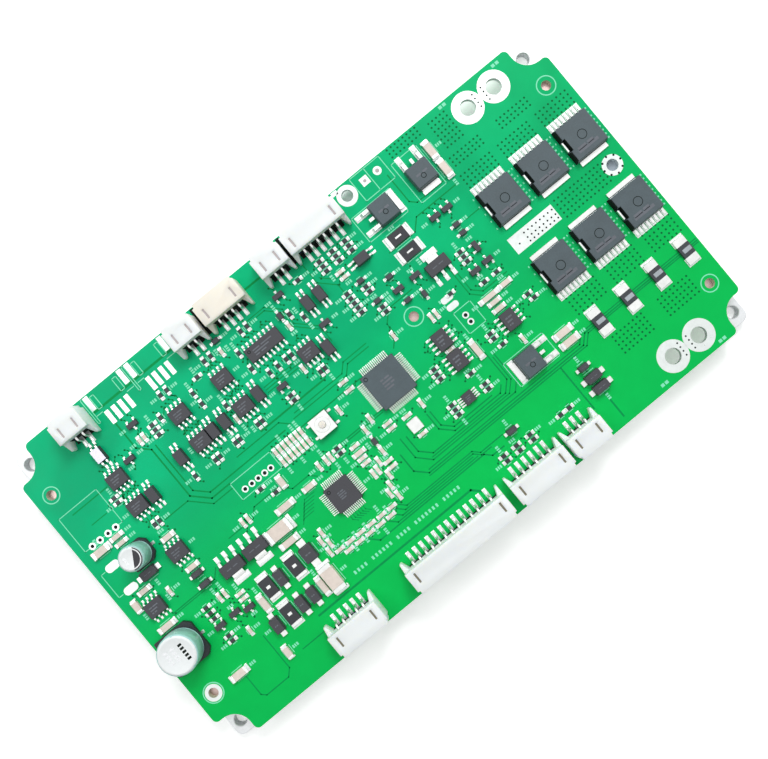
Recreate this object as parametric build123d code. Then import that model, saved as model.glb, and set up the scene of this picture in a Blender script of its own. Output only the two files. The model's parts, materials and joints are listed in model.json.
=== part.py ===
"""Battery management board: a circuit board on spacers over an aluminium base plate.

Millimetres, +Z up, the long side along X. The origin is the centre of the four lug holes,
on the underside of the base plate.
"""
import os

from build123d import *

os.makedirs("parts", exist_ok=True)

# Circuit board, with a notch at each corner that bares the lugs of the base plate
board_length = 165.0
board_depth = 89.0
board_thickness = 1.6
notch_length = 6.9
notch_depth = 7.45
notch_radius = 4.8
notch_lip = 1.3

# Base plate, which fastens the board down and takes the heat of the power transistors
plate_inset_x = 0.8
plate_inset_y = 0.15
plate_thickness = 3.0
plate_corner_radius = 2.0
board_gap = 3.0
lug_inset_x = 2.7
lug_inset_y = 3.6
lug_hole_diameter = 3.2
pedestal_length = 34.0
pedestal_depth = 34.0
pad_thickness = 1.0
pad_margin = 0.5

# Hexagonal spacers pressed into the plate, and the holes over them where they are soldered
spacer_width = 5.0
spacer_hole_diameter = 2.5

# Holes of the board for bolts, and the notches of the plate that clear the long ones
terminal_pitch = 8.1
terminal_hole_diameter = 4.2
terminal_notch_length = 17.6
terminal_notch_depth = 9.6
earth_hole_diameter = 3.1

# Side-entry sockets on a 2 mm pitch
contact_pitch = 2.0
contact_width = 0.5
contact_thickness = 0.5
contact_level = 3.0
contact_reach = 3.4
contact_shank = 0.9
contact_toe = 2.8
contact_foot = 0.8
socket_height = 6.2
socket_depth = 6.1
socket_wall = 0.8
socket_back_wall = 1.4
socket_end_margin = 3.05
socket_inset = 0.9
socket_clearance = 0.5
socket_step_length = 1.0
socket_step_width = 0.55
socket_slot_width = 0.5
socket_slot_length = 2.7
socket_slot_margin = 1.05
socket_slot_setback = 2.4
wing_length = 2.1
wing_width = 1.4
wing_tip_width = 0.6
wing_height = 4.2
wing_tip_height = 2.5

# Moulded packages: length and width of the body, height over the board
package_standoff = 0.1
package_draft = 8.0
small_package_draft = 4.0
lead_thickness = 0.15
lead_heel_ratio = 0.8
controller_side = 10.0
controller_height = 1.5
controller_pitch = 0.5
controller_lead_width = 0.25
controller_lead_reach = 1.35
controller_lead_count = 16
monitor_side = 7.0
monitor_height = 1.5
monitor_lead_reach = 1.3
monitor_lead_count = 12
outline_pitch = 1.27
outline_lead_width = 0.42
outline_lead_reach = 1.05
outline_length = 4.9
outline_width = 3.9
outline_height = 1.7
driver_length = 9.9
driver_lead_count = 8
reference_side = 3.0
reference_height = 1.1
reference_pitch = 0.65
reference_lead_width = 0.3
reference_lead_reach = 0.95
opto_length = 3.8
opto_width = 2.6
opto_height = 2.0
opto_pitch = 1.27
opto_lead_width = 0.45
opto_lead_reach = 1.5
transistor_length = 2.9
transistor_width = 1.4
transistor_height = 1.1
transistor_pitch = 1.9
transistor_lead_width = 0.45
transistor_lead_reach = 0.6
tab_part_length = 6.3
tab_part_width = 3.3
tab_part_height = 1.7
tab_part_pitch = 2.3
tab_part_lead_width = 0.75
tab_part_tab_width = 3.1
tab_part_lead_reach = 2.1

# Power transistors, in two rows of three, and the smaller transistors beside them
power_pitch = 12.05
power_length = 9.9
power_width = 9.8
power_height = 2.3
power_draft = 7.0
power_lead_pitch = 1.2
power_lead_count = 8
power_lead_width = 0.75
power_lead_reach = 1.7
power_tab_width = 8.2
power_tab_reach = 1.3
power_metal_thickness = 0.5
switch_transistor_length = 6.5
switch_transistor_width = 6.1
switch_transistor_height = 2.3
switch_transistor_tab_width = 5.2
switch_transistor_tab_reach = 1.5
switch_transistor_lead_pitch = 4.6
switch_transistor_lead_width = 0.8
switch_transistor_lead_reach = 3.6
switch_transistor_stub_reach = 1.4
switch_transistor_lead_thickness = 0.5

# Current shunts: a metal strip with two thick ends
shunt_length = 7.2
shunt_width = 3.3
shunt_height = 1.1
shunt_end_length = 1.5
shunt_end_height = 0.85

# Two-terminal parts
chip_length = 1.8
chip_width = 0.95
chip_height = 0.5
ceramic_height_ratio = 0.6
small_diode_length = 1.8
small_diode_width = 1.3
small_diode_lead_width = 0.6
small_diode_lead_reach = 0.6
diode_height = 1.9
diode_draft = 4.0
diode_foot_height = 0.7
diode_foot_width_ratio = 0.6
small_diode_height = 1.1
power_resistor_length = 6.4
power_resistor_width = 3.2
power_resistor_height = 0.65
power_resistor_end = 0.9
crystal_length = 3.3
crystal_width = 3.3
crystal_height = 0.9

# Electrolytic capacitors
large_can_diameter = 10.0
large_can_height = 7.5
large_base_side = 10.3
small_can_diameter = 6.3
small_can_height = 8.0
small_base_side = 6.6
base_height = 1.3
base_corner_cut = 1.4
can_rim = 0.6
can_groove_depth = 0.3
can_groove_width = 0.9
can_foot_width = 0.8
can_foot_reach = 0.9
can_foot_thickness = 0.2

# Reset switch
switch_side = 5.2
switch_body_height = 1.5
switch_cover_thickness = 0.2
switch_boss_diameter = 3.8
switch_boss_height = 0.4
button_diameter = 1.7
button_collar_side = 3.4
button_collar_height = 0.4
button_top_height = 2.4
button_travel = 0.25
button_clearance = 0.05
leaf_length = 3.2
leaf_width = 2.0
leaf_thickness = 0.1
switch_leg_width = 0.7
switch_leg_reach = 1.1
switch_leg_thickness = 0.2
switch_leg_pitch = 3.6

# What follows from these sizes
plate_length = board_length - 2 * plate_inset_x
plate_depth = board_depth - 2 * plate_inset_y
lug_spacing_x = plate_length - 2 * lug_inset_x
lug_spacing_y = plate_depth - 2 * lug_inset_y
plate_top = plate_thickness
board_bottom = plate_top + board_gap
board_top = board_bottom + board_thickness
edge_tolerance = 0.01

# The layout grid: its columns and rows are counted from the front left corner
column_count = 165.0
row_count = 88.7
column = board_length / column_count
row = board_depth / row_count


def spot(x, y, turn=0, level=board_top):
    """A place on the board, from the layout grid."""
    return Location(
        (x * column - board_length / 2, y * row - board_depth / 2, level), (0, 0, turn)
    )


def save(name, shapes):
    """Write one sub-part, as a single solid or a group of separate ones."""
    shapes = list(shapes)
    shape = shapes[0] if len(shapes) == 1 else Compound(children=shapes)
    export_step(shape, f"parts/{name}.step")


def block(length, width, height, level=0.0):
    """A plain block that stands on a level."""
    return Pos(0, 0, level) * Box(length, width, height, align=(Align.CENTER, Align.CENTER, Align.MIN))


def rod(diameter, height, level=0.0):
    """A plain upright cylinder that stands on a level."""
    return Pos(0, 0, level) * Cylinder(diameter / 2, height, align=(Align.CENTER, Align.CENTER, Align.MIN))


def strip(profile, width):
    """A bent strip: a closed profile in the XZ plane, as wide as given along Y."""
    outline = make_face(Polyline(*[(x, 0, z) for x, z in profile], close=True))
    return extrude(outline, width / 2, both=True)


def placed(shape, places):
    """One copy of a shape at each place."""
    return [place * shape for place in places]


def placed_all(shapes, places):
    """One copy of each of several shapes at each place."""
    return [place * shape for place in places for shape in shapes]


# Where things stand on the layout grid: column, row and, where one is given, the turn in degrees
spacer_spots = [(4.45, 75.2), (160.3, 75.6), (160.3, 13.4), (99.7, 52.8), (4.4, 13.6)]
terminal_spots = [(146.2, 83.5), (146.15, 5.45)]
earth_spots = [(105.9, 85.6), (160.4, 50.5)]
pedestal_spot = (146.4, 49.9)
power_spots = [(134.4, 60.8, 0), (134.4, 39.8, 180)]
shunt_spots = [(133.7, 23.3), (142.7, 23.3), (151.7, 23.3), (160.8, 23.3)]
switch_transistor_spots = [(110.5, 77.2, 180), (123.1, 78.1, 90), (114.3, 26.5, 0)]
tab_part_spots = [(112.0, 58.6, 90), (27.6, 34.1, -90), (34.6, 34.1, -90)]
controller_spot = (84.85, 44.45)
monitor_spot = (59.2, 30.7)
driver_spot = (67.4, 70.4)
reference_spot = (97.4, 29.3)
large_can_spot = (6.2, 26.6)
small_can_spot = (12.4, 50.8)
switch_spot = (66.1, 46.7)
crystal_spot = (83.2, 32.4)

outline_spots = [
    (19.6, 68.0, 0),
    (19.4, 59.9, 0),
    (41.1, 70.5, 0),
    (54.4, 70.5, 0),
    (40.9, 62.2, 0),
    (54.2, 62.2, 0),
    (74.6, 62.3, 0),
    (7.1, 38.4, 0),
    (19.7, 45.3, 0),
    (101.2, 44.1, 90),
    (101.2, 38.0, 90),
    (117.1, 37.4, 90),
]
opto_spots = [
    (23.8, 59.7, 0),
    (34.7, 62.3, 0),
    (44.8, 62.3, 0),
    (48.3, 62.3, 0),
    (58.8, 62.3, 0),
    (78.9, 60.2, 0),
    (81.9, 71.5, 0),
    (85.6, 71.5, 0),
    (98.9, 71.6, 90),
    (19.9, 75.2, 0),
]
sensor_spots = [
    (77.5, 77.5, 180),
    (82.0, 65.2, 180),
    (64.4, 60.0, 180),
    (119.0, 68.1, 0),
    (122.6, 68.0, 0),
    (101.0, 60.2, 0),
    (106.2, 60.2, 180),
    (118.2, 51.8, 0),
    (122.1, 52.0, 180),
    (122.1, 56.3, 90),
    (24.7, 69.8, 0),
    (16.2, 25.0, 0),
    (24.3, 24.0, 0),
    (20.8, 25.2, 180),
    (30.6, 75.9, 0),
]

# Rectifiers: column, row, turn, body length and body width
diode_spots = [
    (11.0, 45.8, 0, 4.2, 2.5),
    (19.8, 35.2, 0, 2.7, 1.6),
    (19.8, 38.3, 0, 2.7, 1.6),
    (100.3, 16.6, 0, 2.7, 1.6),
    (123.4, 17.3, 0, 2.7, 1.6),
    (123.8, 14.1, 0, 4.3, 2.4),
    (123.8, 11.0, 0, 4.3, 2.4),
    (34.8, 24.8, 90, 4.0, 2.5),
    (26.9, 16.5, 90, 4.0, 2.5),
    (34.8, 16.6, 90, 4.0, 2.5),
    (38.3, 16.6, 90, 4.0, 2.5),
    (43.7, 25.0, 90, 4.2, 3.5),
]
small_diode_spots = [
    (95.2, 67.6, 0),
    (95.3, 61.3, 0),
    (101.2, 64.0, 0),
    (101.1, 56.8, 0),
    (121.8, 63.4, 0),
    (121.8, 60.9, 0),
    (105.2, 55.4, 90),
    (58.9, 78.7, 0),
    (74.7, 73.4, 90),
    (73.1, 35.6, 90),
]
power_resistor_spots = [
    (109.1, 70.1, 0),
    (109.1, 65.6, 0),
    (31.0, 24.8, 90),
    (39.1, 24.8, 90),
    (30.9, 16.6, 90),
]

# Ceramic capacitors: column, row, turn, length and width
ceramic_spots = [
    (41.8, 33.7, 0, 6.8, 3.5),
    (41.8, 30.0, 0, 4.8, 1.7),
    (44.4, 16.9, 90, 7.2, 3.6),
    (41.3, 16.7, 90, 4.8, 1.6),
    (27.7, 22.4, 90, 4.6, 1.7),
    (12.3, 13.2, 0, 4.7, 1.9),
    (6.2, 33.1, 0, 4.6, 1.6),
    (5.4, 57.1, 0, 4.7, 1.9),
    (10.4, 57.5, 0, 3.4, 1.2),
    (10.4, 55.6, 0, 3.2, 1.1),
    (7.3, 43.2, 0, 3.4, 1.3),
    (19.9, 49.6, 0, 3.4, 1.4),
    (19.9, 40.3, 0, 3.3, 1.3),
    (46.4, 37.2, 0, 4.8, 1.7),
    (53.9, 37.2, 0, 3.4, 1.4),
    (49.5, 42.4, 90, 3.2, 1.6),
    (68.4, 35.8, 0, 3.2, 1.2),
    (116.8, 44.9, 0, 5.2, 1.3),
    (121.9, 45.0, 0, 3.3, 1.3),
    (116.9, 41.2, 0, 3.3, 1.2),
    (117.0, 43.1, 0, 3.3, 1.2),
    (125.0, 26.9, 0, 4.9, 1.8),
    (125.0, 24.2, 0, 4.9, 1.8),
    (128.4, 81.3, 90, 4.7, 1.9),
    (128.4, 75.6, 90, 4.7, 1.9),
    (106.3, 37.0, 90, 4.8, 1.6),
    (24.6, 9.9, 90, 3.3, 1.6),
    (3.5, 41.4, 90, 3.2, 1.6),
]

# Small chips, upright ones first: the rows and columns that they stand in, then single ones
resistors_upright = [
    (49.1, 26.7),
    (47.7, 25.1),
    (49.1, 23.5),
    (47.7, 21.9),
    (70.7, 27.2),
    (69.3, 25.0),
    (67.9, 23.6),
    (69.3, 21.9),
    (40.6, 56.5),
    (41.9, 56.5),
    (47.0, 56.6),
    (48.3, 56.6),
    (54.0, 56.6),
    (55.3, 56.6),
    (73.8, 56.8),
    (75.1, 56.8),
    (34.4, 56.6),
    (19.4, 53.8),
    (20.8, 53.8),
    (36.8, 72.8),
    (53.6, 76.6),
    (55.6, 76.6),
    (65.0, 76.6),
    (67.0, 76.6),
    (46.6, 72.3),
    (46.7, 69.0),
    (61.3, 72.8),
    (61.3, 67.9),
    (76.8, 72.3),
    (79.1, 69.5),
    (64.1, 64.4),
    (66.7, 64.4),
    (69.3, 64.4),
    (70.9, 64.4),
    (50.9, 65.0),
    (40.2, 77.0),
    (42.2, 77.0),
]
resistors_across = [
    (64.5, 57.0),
    (64.5, 55.6),
    (44.5, 44.2),
    (46.9, 41.3),
    (64.9, 40.0),
    (64.9, 38.6),
    (68.2, 32.9),
    (95.2, 39.8),
    (95.0, 38.4),
    (95.0, 37.0),
    (101.5, 33.4),
    (111.2, 37.8),
    (111.2, 36.4),
    (112.0, 34.0),
    (118.2, 57.7),
    (118.2, 56.3),
    (118.2, 54.9),
    (110.0, 51.4),
    (118.2, 48.4),
    (122.0, 48.4),
    (93.0, 30.4),
    (93.0, 29.0),
    (93.0, 27.6),
    (102.5, 29.3),
    (102.5, 27.9),
    (34.1, 72.8),
    (34.0, 71.4),
    (34.0, 70.0),
    (15.8, 65.0),
    (15.9, 63.6),
    (83.6, 77.4),
    (90.6, 67.2),
    (90.6, 65.8),
    (90.6, 64.4),
    (90.6, 63.0),
    (90.6, 61.6),
    (95.3, 65.7),
    (95.3, 64.3),
    (95.3, 59.4),
    (95.3, 58.0),
    (49.9, 74.8),
    (111.9, 11.9),
    (114.6, 11.9),
    (124.4, 39.5),
    (125.2, 37.9),
]
capacitors_upright = [
    (67.9, 29.6),
    (69.3, 29.8),
    (70.8, 31.2),
    (29.4, 71.7),
    (30.8, 71.7),
    (58.3, 75.7),
    (74.9, 70.2),
    (71.0, 60.0),
    (50.9, 60.8),
    (71.2, 46.8),
    (73.1, 39.1),
    (73.1, 32.6),
    (75.7, 40.5),
    (61.1, 39.4),
    (62.5, 39.4),
    (58.9, 39.4),
    (92.9, 52.3),
    (102.8, 49.8),
    (104.3, 49.8),
    (87.7, 35.5),
    (116.7, 31.8),
    (11.9, 39.2),
    (20.2, 30.3),
    (21.8, 30.3),
    (20.8, 19.5),
    (36.0, 40.6),
    (37.6, 40.6),
]
capacitors_across = [
    (72.6, 29.8),
    (72.6, 28.2),
    (68.6, 37.7),
    (68.2, 34.3),
    (78.2, 36.9),
    (78.3, 35.4),
    (76.3, 51.4),
    (76.3, 49.0),
    (101.3, 41.0),
    (83.0, 35.3),
    (83.3, 29.6),
    (92.7, 72.4),
    (92.9, 70.8),
    (24.6, 28.0),
    (24.6, 26.5),
]
resistor_rows = [
    ([50.0, 53.25, 56.5, 59.75, 63.0, 66.25], [20.8]),
    ([51.75, 55.0, 58.25, 61.5, 64.75], [19.3]),
    ([94.9, 98.9, 103.1], [13.0, 11.5]),
    ([90.4, 94.4, 98.4], [77.5, 76.1, 74.7]),
    ([16.1], [30.5, 28.9, 27.3, 21.9, 20.4]),
]
filter_columns = [52.9, 54.22, 55.55, 56.88, 58.2, 59.52, 60.85]
filter_rows = [48.55, 45.75]

# Sockets: column of the middle and number of contacts, for the rear and the front edge
rear_sockets = [(19.9, 2), (54.6, 2), (66.1, 4), (81.5, 2), (94.45, 6)]
front_sockets = [(42.35, 5), (73.95, 13), (99.1, 6), (113.35, 3)]


def on_edge(corner):
    """Whether a corner of the board's outline lies on one of its four straight edges."""
    reach_x = board_length / 2 - abs(corner.X)
    reach_y = board_depth / 2 - abs(corner.Y)
    return min(reach_x, reach_y) < edge_tolerance


def make_board():
    """The board: notched corners with round lips, spacer, terminal and earth holes."""
    outline = Rectangle(board_length, board_depth)
    notch = RectangleRounded(2 * notch_length, 2 * notch_depth, notch_radius)
    for x in (-board_length / 2, board_length / 2):
        for y in (-board_depth / 2, board_depth / 2):
            outline -= Pos(x, y) * notch
    lips = [corner for corner in outline.vertices() if on_edge(corner)]
    outline = fillet(lips, notch_lip)
    board = Pos(0, 0, board_bottom) * extrude(outline, board_thickness)
    spacer_hole = rod(spacer_hole_diameter, board_thickness)
    holes = placed(spacer_hole, [spot(*s, level=board_bottom) for s in spacer_spots])
    earth_hole = rod(earth_hole_diameter, board_thickness)
    holes += placed(earth_hole, [spot(*s, level=board_bottom) for s in earth_spots])
    terminal_hole = rod(terminal_hole_diameter, board_thickness)
    pair = [Pos(side * terminal_pitch / 2, 0) * terminal_hole for side in (-1, 1)]
    holes += placed_all(pair, [spot(*s, level=board_bottom) for s in terminal_spots])
    return board - holes


def make_plate():
    """The base plate: four lug holes, two notches that clear the bolts, and the pedestal."""
    plate = extrude(RectangleRounded(plate_length, plate_depth, plate_corner_radius), plate_thickness)
    pedestal = block(pedestal_length, pedestal_depth, board_gap - pad_thickness)
    plate += spot(*pedestal_spot, level=plate_top) * pedestal
    cuts = []
    for x in (-lug_spacing_x / 2, lug_spacing_x / 2):
        for y in (-lug_spacing_y / 2, lug_spacing_y / 2):
            cuts.append(Pos(x, y) * rod(lug_hole_diameter, plate_thickness))
    notch = block(terminal_notch_length, terminal_notch_depth, plate_thickness)
    notch_y = (plate_depth - terminal_notch_depth) / 2
    for (x, y), side in zip(terminal_spots, (1, -1)):
        cuts.append(Pos(x * column - board_length / 2, side * notch_y) * notch)
    return plate - cuts


def socket_width(contacts):
    """How long a socket is, with its contacts on their pitch and a margin at each end."""
    return (contacts - 1) * contact_pitch + 2 * socket_end_margin


def make_socket(contacts):
    """A side-entry socket, its mouth towards -Y and its middle contact line on the origin."""
    width = socket_width(contacts)
    shell = Pos(0, socket_depth / 2) * block(width, socket_depth, socket_height)
    step = block(2 * socket_step_width, 2 * socket_step_length, socket_height)
    shell -= [Pos(side * width / 2, 0) * step for side in (-1, 1)]
    cavity_width = width - 2 * (socket_wall + socket_step_width)
    cavity_depth = socket_depth - socket_back_wall
    cavity = block(cavity_width, cavity_depth, socket_height - 2 * socket_wall, socket_wall)
    shell -= Pos(0, cavity_depth / 2) * cavity
    slot = block(socket_slot_width, socket_slot_length, 2 * socket_wall, socket_height - socket_wall)
    slot_x = width / 2 - socket_end_margin + socket_slot_margin
    slot_y = socket_slot_setback + socket_slot_length / 2
    shell -= [Pos(side * slot_x, slot_y) * slot for side in (-1, 1)]
    for side in (-1, 1):
        shell += make_wing(side * width / 2, side)
    row_width = (contacts - 1) * contact_pitch + contact_width
    outlet = block(row_width, socket_back_wall, contact_thickness, contact_level - contact_thickness / 2)
    return shell - Pos(0, socket_depth - socket_back_wall / 2) * outlet


def make_wing(edge, side):
    """The sloping wing that runs back along the board from one side of a socket."""
    plan = make_face(
        Polyline(
            (edge, 0),
            (edge - side * wing_width, 0),
            (edge - side * wing_tip_width, wing_length),
            (edge, wing_length),
            close=True,
        )
    )
    wing = extrude(plan, wing_height)
    slope = make_face(
        Polyline(
            (0, 0, wing_height),
            (0, wing_length, wing_tip_height),
            (0, wing_length, wing_height),
            close=True,
        )
    )
    return Pos(0, socket_depth) * (wing - Pos(edge) * extrude(slope, 2 * wing_width, both=True))


def contact_places(contacts):
    """One place for each contact, in the socket's own frame."""
    first = -(contacts - 1) * contact_pitch / 2
    return [Pos(first + number * contact_pitch, 0) for number in range(contacts)]


def make_contact():
    """A contact: a pin through the back wall, a leg that leans out and a toe on the board."""
    low = contact_level - contact_thickness / 2
    high = contact_level + contact_thickness / 2
    tip = socket_depth - socket_back_wall - contact_reach
    bend = socket_depth + contact_shank
    toe = socket_depth + contact_toe
    profile = [
        (tip, low),
        (bend - contact_thickness, low),
        (toe - contact_foot, 0),
        (toe, 0),
        (bend, high),
        (tip, high),
    ]
    return Rot(0, 0, 90) * strip(profile, contact_width)


def socket_places(sockets, edge, turn):
    """Each socket's place, mouth outwards: in its column, and clear of the one before it."""
    places = []
    end = -board_length / 2
    for x, contacts in sockets:
        half = socket_width(contacts) / 2
        middle = max(x * column - board_length / 2, end + socket_clearance + half)
        end = middle + half
        places.append(Pos(middle, edge, board_top) * Rot(0, 0, turn) * Pos(0, socket_inset))
    return places


def moulded(length, width, height):
    """A moulded package: two halves that taper away from the parting line."""
    half = (height - package_standoff) / 2
    lower = extrude(Rectangle(length, width), -half, taper=package_draft)
    upper = extrude(Rectangle(length, width), half, taper=package_draft)
    return Pos(0, 0, package_standoff + half) * (lower + upper)


def moulded_small(length, width, height):
    """A small moulded package, which tapers upwards only."""
    body = extrude(Rectangle(length, width), height - package_standoff, taper=small_package_draft)
    return Pos(0, 0, package_standoff) * body


def gull_lead(height, width, reach, thickness=lead_thickness):
    """A lead that slopes from the parting line at X = 0 down to its flat toe."""
    shoulder = package_standoff + (height - package_standoff) / 2
    profile = [
        (0, shoulder - thickness / 2),
        (lead_heel_ratio * reach, 0),
        (reach, 0),
        (0, shoulder + thickness / 2),
    ]
    return strip(profile, width)


def lead_rows(lead, body_width, pitch, counts):
    """Rows of leads along the sides of a package: a count for each turn in degrees."""
    places = []
    for turn, count in counts.items():
        first = -(count - 1) * pitch / 2
        for number in range(count):
            places.append(Rot(0, 0, turn) * Pos(body_width / 2, first + number * pitch))
    return placed(lead, places)


def make_power_parts():
    """The six power transistors: bodies, rows of flat leads and the tab of each heat spreader."""
    places = []
    for x, y, turn in power_spots:
        for number in range(3):
            places.append(spot(x, y) * Pos(number * power_pitch, 0) * Rot(0, 0, turn))
    body = extrude(Rectangle(power_length, power_width), power_height, taper=power_draft)
    tab = block(power_tab_width, power_tab_reach, power_metal_thickness)
    tab = Pos(0, -(power_width + power_tab_reach) / 2) * tab
    lead = block(power_lead_width, power_lead_reach, power_metal_thickness)
    first = -(power_lead_count - 1) * power_lead_pitch / 2
    lead_y = (power_width + power_lead_reach) / 2
    row_of_leads = [Pos(first + n * power_lead_pitch, lead_y) * lead for n in range(power_lead_count)]
    return placed(body, places), placed_all(row_of_leads, places), placed(tab, places)


def make_switch_transistors():
    """Three surface-mounted power transistors with a wide tab, two leads and a cut stub."""
    places = [spot(*s) for s in switch_transistor_spots]
    length = switch_transistor_length
    width = switch_transistor_width
    body = extrude(Rectangle(width, length), switch_transistor_height, taper=power_draft)
    thickness = switch_transistor_lead_thickness
    tab = Pos(-width / 2 - switch_transistor_tab_reach / 2, 0) * block(
        switch_transistor_tab_reach, switch_transistor_tab_width, thickness
    )
    lead = gull_lead(
        switch_transistor_height, switch_transistor_lead_width, switch_transistor_lead_reach, thickness
    )
    pair = [Pos(width / 2, side * switch_transistor_lead_pitch / 2) * lead for side in (-1, 1)]
    stub_level = package_standoff + (switch_transistor_height - package_standoff) / 2 - thickness / 2
    stub = Pos(width / 2 + switch_transistor_stub_reach / 2, 0, stub_level) * block(
        switch_transistor_stub_reach, switch_transistor_lead_width, thickness
    )
    return placed(body, places), placed_all([tab, stub, *pair], places)


def make_shunt():
    """A current shunt: one metal piece with two low ends and a raised middle."""
    middle = block(shunt_length - 2 * shunt_end_length, shunt_width, shunt_height)
    return block(shunt_length, shunt_width, shunt_end_height) + middle


def make_can(diameter, height):
    """An electrolytic can, rolled over at the top and crimped just over its base."""
    radius = diameter / 2
    top = height - base_height
    profile = Polyline(
        (0, 0),
        (radius, 0),
        (radius - can_groove_depth, can_groove_width / 2),
        (radius, can_groove_width),
        (radius, top - can_rim),
        (radius - can_rim, top),
        (0, top),
        close=True,
    )
    return Pos(0, 0, base_height) * revolve(Plane.XZ * make_face(profile), Axis.Z)


def make_can_base(side):
    """A capacitor's plastic base, with two corners cut to show its polarity."""
    plan = Rectangle(side, side)
    cut = chamfer(plan.vertices().sort_by(Axis.X)[-2:], base_corner_cut)
    return extrude(cut, base_height)


def make_can_feet(side):
    """The two flat feet that stick out under a capacitor's base."""
    foot = block(can_foot_reach, can_foot_width, can_foot_thickness)
    return [Pos(s * (side / 2 + can_foot_reach / 2), 0) * foot for s in (-1, 1)]


def make_switch():
    """The reset switch: base with its well, cover, snap leaf, legs and the button in its guide."""
    well_depth = button_collar_height + button_travel + leaf_thickness
    well_side = button_collar_side + 2 * button_clearance
    collar_level = switch_body_height - button_collar_height
    base = block(switch_side, switch_side, switch_body_height)
    base -= block(well_side, well_side, well_depth, switch_body_height - well_depth)
    cover = block(switch_side, switch_side, switch_cover_thickness, switch_body_height)
    cover += rod(switch_boss_diameter, switch_boss_height, switch_body_height)
    cover -= rod(button_diameter + 2 * button_clearance, switch_boss_height, switch_body_height)
    leaf = block(leaf_length, leaf_width, leaf_thickness, switch_body_height - well_depth)
    collar = block(button_collar_side, button_collar_side, button_collar_height, collar_level)
    button = collar + rod(button_diameter, button_top_height - switch_body_height, switch_body_height)
    leg = block(switch_leg_reach, switch_leg_width, switch_leg_thickness)
    legs = []
    for x in (-1, 1):
        for y in (-1, 1):
            leg_x = x * (switch_side / 2 + switch_leg_reach / 2)
            legs.append(Pos(leg_x, y * switch_leg_pitch / 2) * leg)
    return base, cover, leaf, button, legs


def make_rectifier(length, width):
    """A rectifier: its tapered body, and a flat foot at each end."""
    body = extrude(Rectangle(length, width), diode_height, taper=diode_draft)
    foot = block(width / 2, diode_foot_width_ratio * width, diode_foot_height)
    feet = [Pos(side * (length / 2 + width / 4), 0) * foot for side in (-1, 1)]
    return body, feet


# The board and what carries it
save("circuit_board", [make_board()])
save("base_plate", [make_plate()])
pad_length = pedestal_length - 2 * pad_margin
pad_depth = pedestal_depth - 2 * pad_margin
thermal_pad = block(pad_length, pad_depth, pad_thickness)
save("thermal_pad", [spot(*pedestal_spot, level=board_bottom - pad_thickness) * thermal_pad])
spacer = extrude(RegularPolygon(spacer_width / 2, 6, major_radius=False), board_gap)
save("board_spacers", placed(spacer, [spot(*s, level=plate_top) for s in spacer_spots]))

# The power stage
power_bodies, power_leads, power_tabs = make_power_parts()
save("power_transistor_bodies", power_bodies)
save("power_transistor_leads", power_leads)
save("power_transistor_tabs", power_tabs)
switch_bodies, switch_metal = make_switch_transistors()
save("switch_transistor_bodies", switch_bodies)
save("switch_transistor_leads", switch_metal)
save("current_shunts", placed(Rot(0, 0, 90) * make_shunt(), [spot(*s) for s in shunt_spots]))

# The tab regulators: a wide tab on one side and three leads on the other
tab_places = [spot(*s) for s in tab_part_spots]
save("tab_regulator_bodies", placed(moulded(tab_part_width, tab_part_length, tab_part_height), tab_places))
tab_lead = gull_lead(tab_part_height, tab_part_lead_width, tab_part_lead_reach)
tab_wide = gull_lead(tab_part_height, tab_part_tab_width, tab_part_lead_reach)
tab_metal = lead_rows(tab_lead, tab_part_width, tab_part_pitch, {180: 3})
tab_metal += lead_rows(tab_wide, tab_part_width, tab_part_pitch, {0: 1})
save("tab_regulator_leads", placed_all(tab_metal, tab_places))

# The two controllers, with leads on all four sides
def save_controller(name, centre, side, height, reach, count):
    """Write the body and the four rows of leads of a square controller."""
    lead = gull_lead(height, controller_lead_width, reach)
    rows = lead_rows(lead, side, controller_pitch, {0: count, 90: count, 180: count, 270: count})
    save(name + "_body", [spot(*centre) * moulded(side, side, height)])
    save(name + "_leads", placed_all(rows, [spot(*centre)]))


save_controller(
    "main_controller",
    controller_spot,
    controller_side,
    controller_height,
    controller_lead_reach,
    controller_lead_count,
)
save_controller(
    "cell_monitor", monitor_spot, monitor_side, monitor_height, monitor_lead_reach, monitor_lead_count
)

# Packages with leads on two sides
outline_lead = gull_lead(outline_height, outline_lead_width, outline_lead_reach)
save("gate_driver_body", [spot(*driver_spot) * moulded(driver_length, outline_width, outline_height)])
driver_rows = {90: driver_lead_count, 270: driver_lead_count}
driver_pieces = lead_rows(outline_lead, outline_width, outline_pitch, driver_rows)
save("gate_driver_leads", placed_all(driver_pieces, [spot(*driver_spot)]))
outline_places = [spot(*s) for s in outline_spots]
save("eight_pin_bodies", placed(moulded(outline_length, outline_width, outline_height), outline_places))
outline_pieces = lead_rows(outline_lead, outline_width, outline_pitch, {90: 4, 270: 4})
save("eight_pin_leads", placed_all(outline_pieces, outline_places))
reference_place = spot(*reference_spot)
save("reference_body", [reference_place * moulded_small(reference_side, reference_side, reference_height)])
reference_lead = gull_lead(reference_height, reference_lead_width, reference_lead_reach)
reference_pieces = lead_rows(reference_lead, reference_side, reference_pitch, {0: 4, 180: 4})
save("reference_leads", placed_all(reference_pieces, [reference_place]))
opto_places = [spot(*s) for s in opto_spots]
save("optocoupler_bodies", placed(moulded_small(opto_width, opto_length, opto_height), opto_places))
opto_lead = gull_lead(opto_height, opto_lead_width, opto_lead_reach)
opto_pieces = lead_rows(opto_lead, opto_length, opto_pitch, {90: 2, 270: 2})
save("optocoupler_leads", placed_all(opto_pieces, opto_places))
sensor_places = [spot(*s) for s in sensor_spots]
small_body = moulded_small(transistor_length, transistor_width, transistor_height)
save("small_transistor_bodies", placed(small_body, sensor_places))
small_lead = gull_lead(transistor_height, transistor_lead_width, transistor_lead_reach)
small_pieces = lead_rows(small_lead, transistor_width, transistor_pitch, {90: 2, 270: 1})
save("small_transistor_leads", placed_all(small_pieces, sensor_places))

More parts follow.
